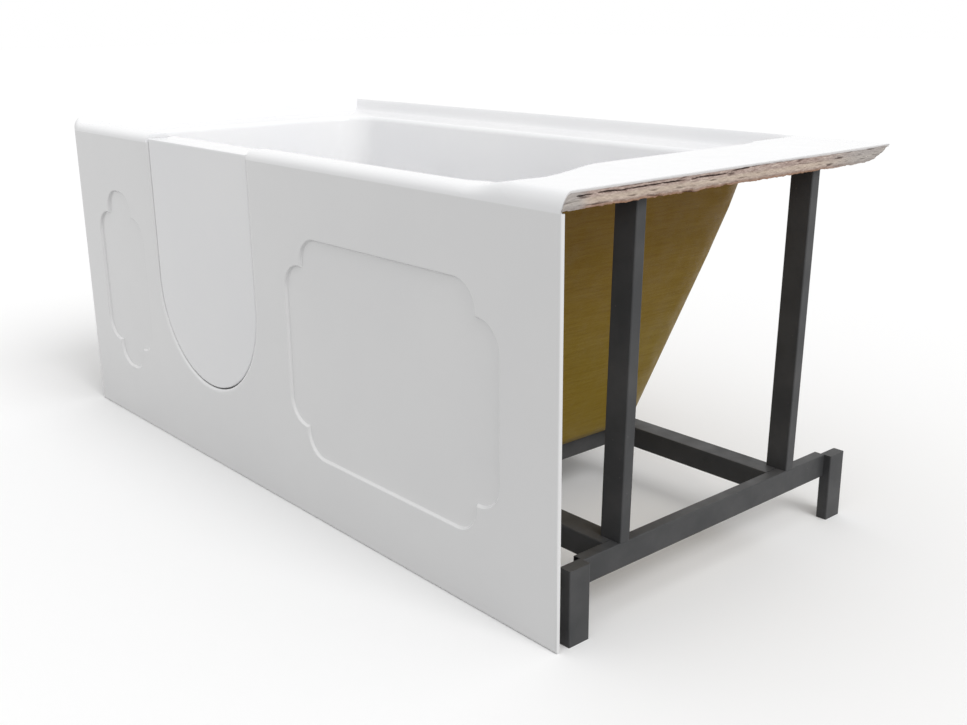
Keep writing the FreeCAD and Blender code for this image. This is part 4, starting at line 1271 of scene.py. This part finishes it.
end_shape = bmesh.new()
share_layer = end_shape.verts.layers.float.new("board_share")
crack_shade_layer = end_shape.verts.layers.float.new("crack")
worn_layer = end_shape.verts.layers.float.new("worn")
grid(end_shape, END_COLUMNS, END_ROWS, 0.5)
for vert in end_shape.verts:
    across = vert.co.x + 0.5
    upward = vert.co.y + 0.5
    y = front_end + (rear_end - front_end) * across
    high_z = deck + sheet_rise(half_length, y) - skin
    low_z = min(bottom_edge(y), high_z - 0.001)
    z = low_z + (high_z - low_z) * upward
    width = 0.0011 + 0.0006 * rough_line(y, 0.02, 10.0)
    gap = abs(z - crack_height(y)) / width
    crack = crack_depth(y) * max(0.0, 1 - gap * gap)
    pit = max(0.0, rough((y * 0.22, z * 1.8), 0.006, 21.0) - 0.26) * 2.0
    fibre = 0.0006 * rough((y, z * 3), 0.007, 11.0) + 0.0005 * rough((y, z * 2), 0.0026, 12.0)
    frayed = 0.0016 * (1 - smooth_step(upward * 4)) * (0.6 + rough_line(y, 0.012, 13.0))
    body = 1 - smooth_step((upward - 0.86) / 0.06)
    inward = (crack_reach * crack + pit_reach * pit + frayed + fibre) * body
    vert[share_layer] = upward
    vert[worn_layer] = max(1 - smooth_step((y + 0.350) / 0.030), smooth_step((y - 0.150) / 0.150))
    # crack and pits: the mask of painted shade for the finish
    vert[crack_shade_layer] = max(crack, 0.7 * pit * body)
    vert.co = Vector((board_high.x + end_proud - max(0.0, inward + 0.0004 * body), y, z))
ring = open_edges(end_shape)
for x, below in (
    (board_high.x - 0.0012, 0.0040), (board_high.x - 0.006, 0.0040),
    (board_high.x - 0.020, 0.0040), (0.700, 0.0045), (0.660, 0.0045), (board_low.x, 0.0045),
):
    ring = grow(end_shape, ring, lambda point: Vector((
        x, point.y, min(point.z, deck + sheet_rise(x, point.y) - below))))
bmesh.ops.holes_fill(end_shape, edges=ring, sides=0)
face_out(end_shape)
place_piece(
    to_mesh(end_shape, "raw_end"), "raw_end", "sawn_board", "tub", ["end_board"], crease=70.0)

# %% [markdown]
# ## Close the scene
# The shapes that only served to cut are taken away, and the bounds of the dressed model are
# taken again, as those of the plain construction were at the start.

# %% Measure the sizes and finish
for thing in [thing for thing in bpy.data.objects if thing.name.endswith("_cut")]:
    bpy.data.objects.remove(thing)
bpy.context.view_layer.update()
low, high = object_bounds()
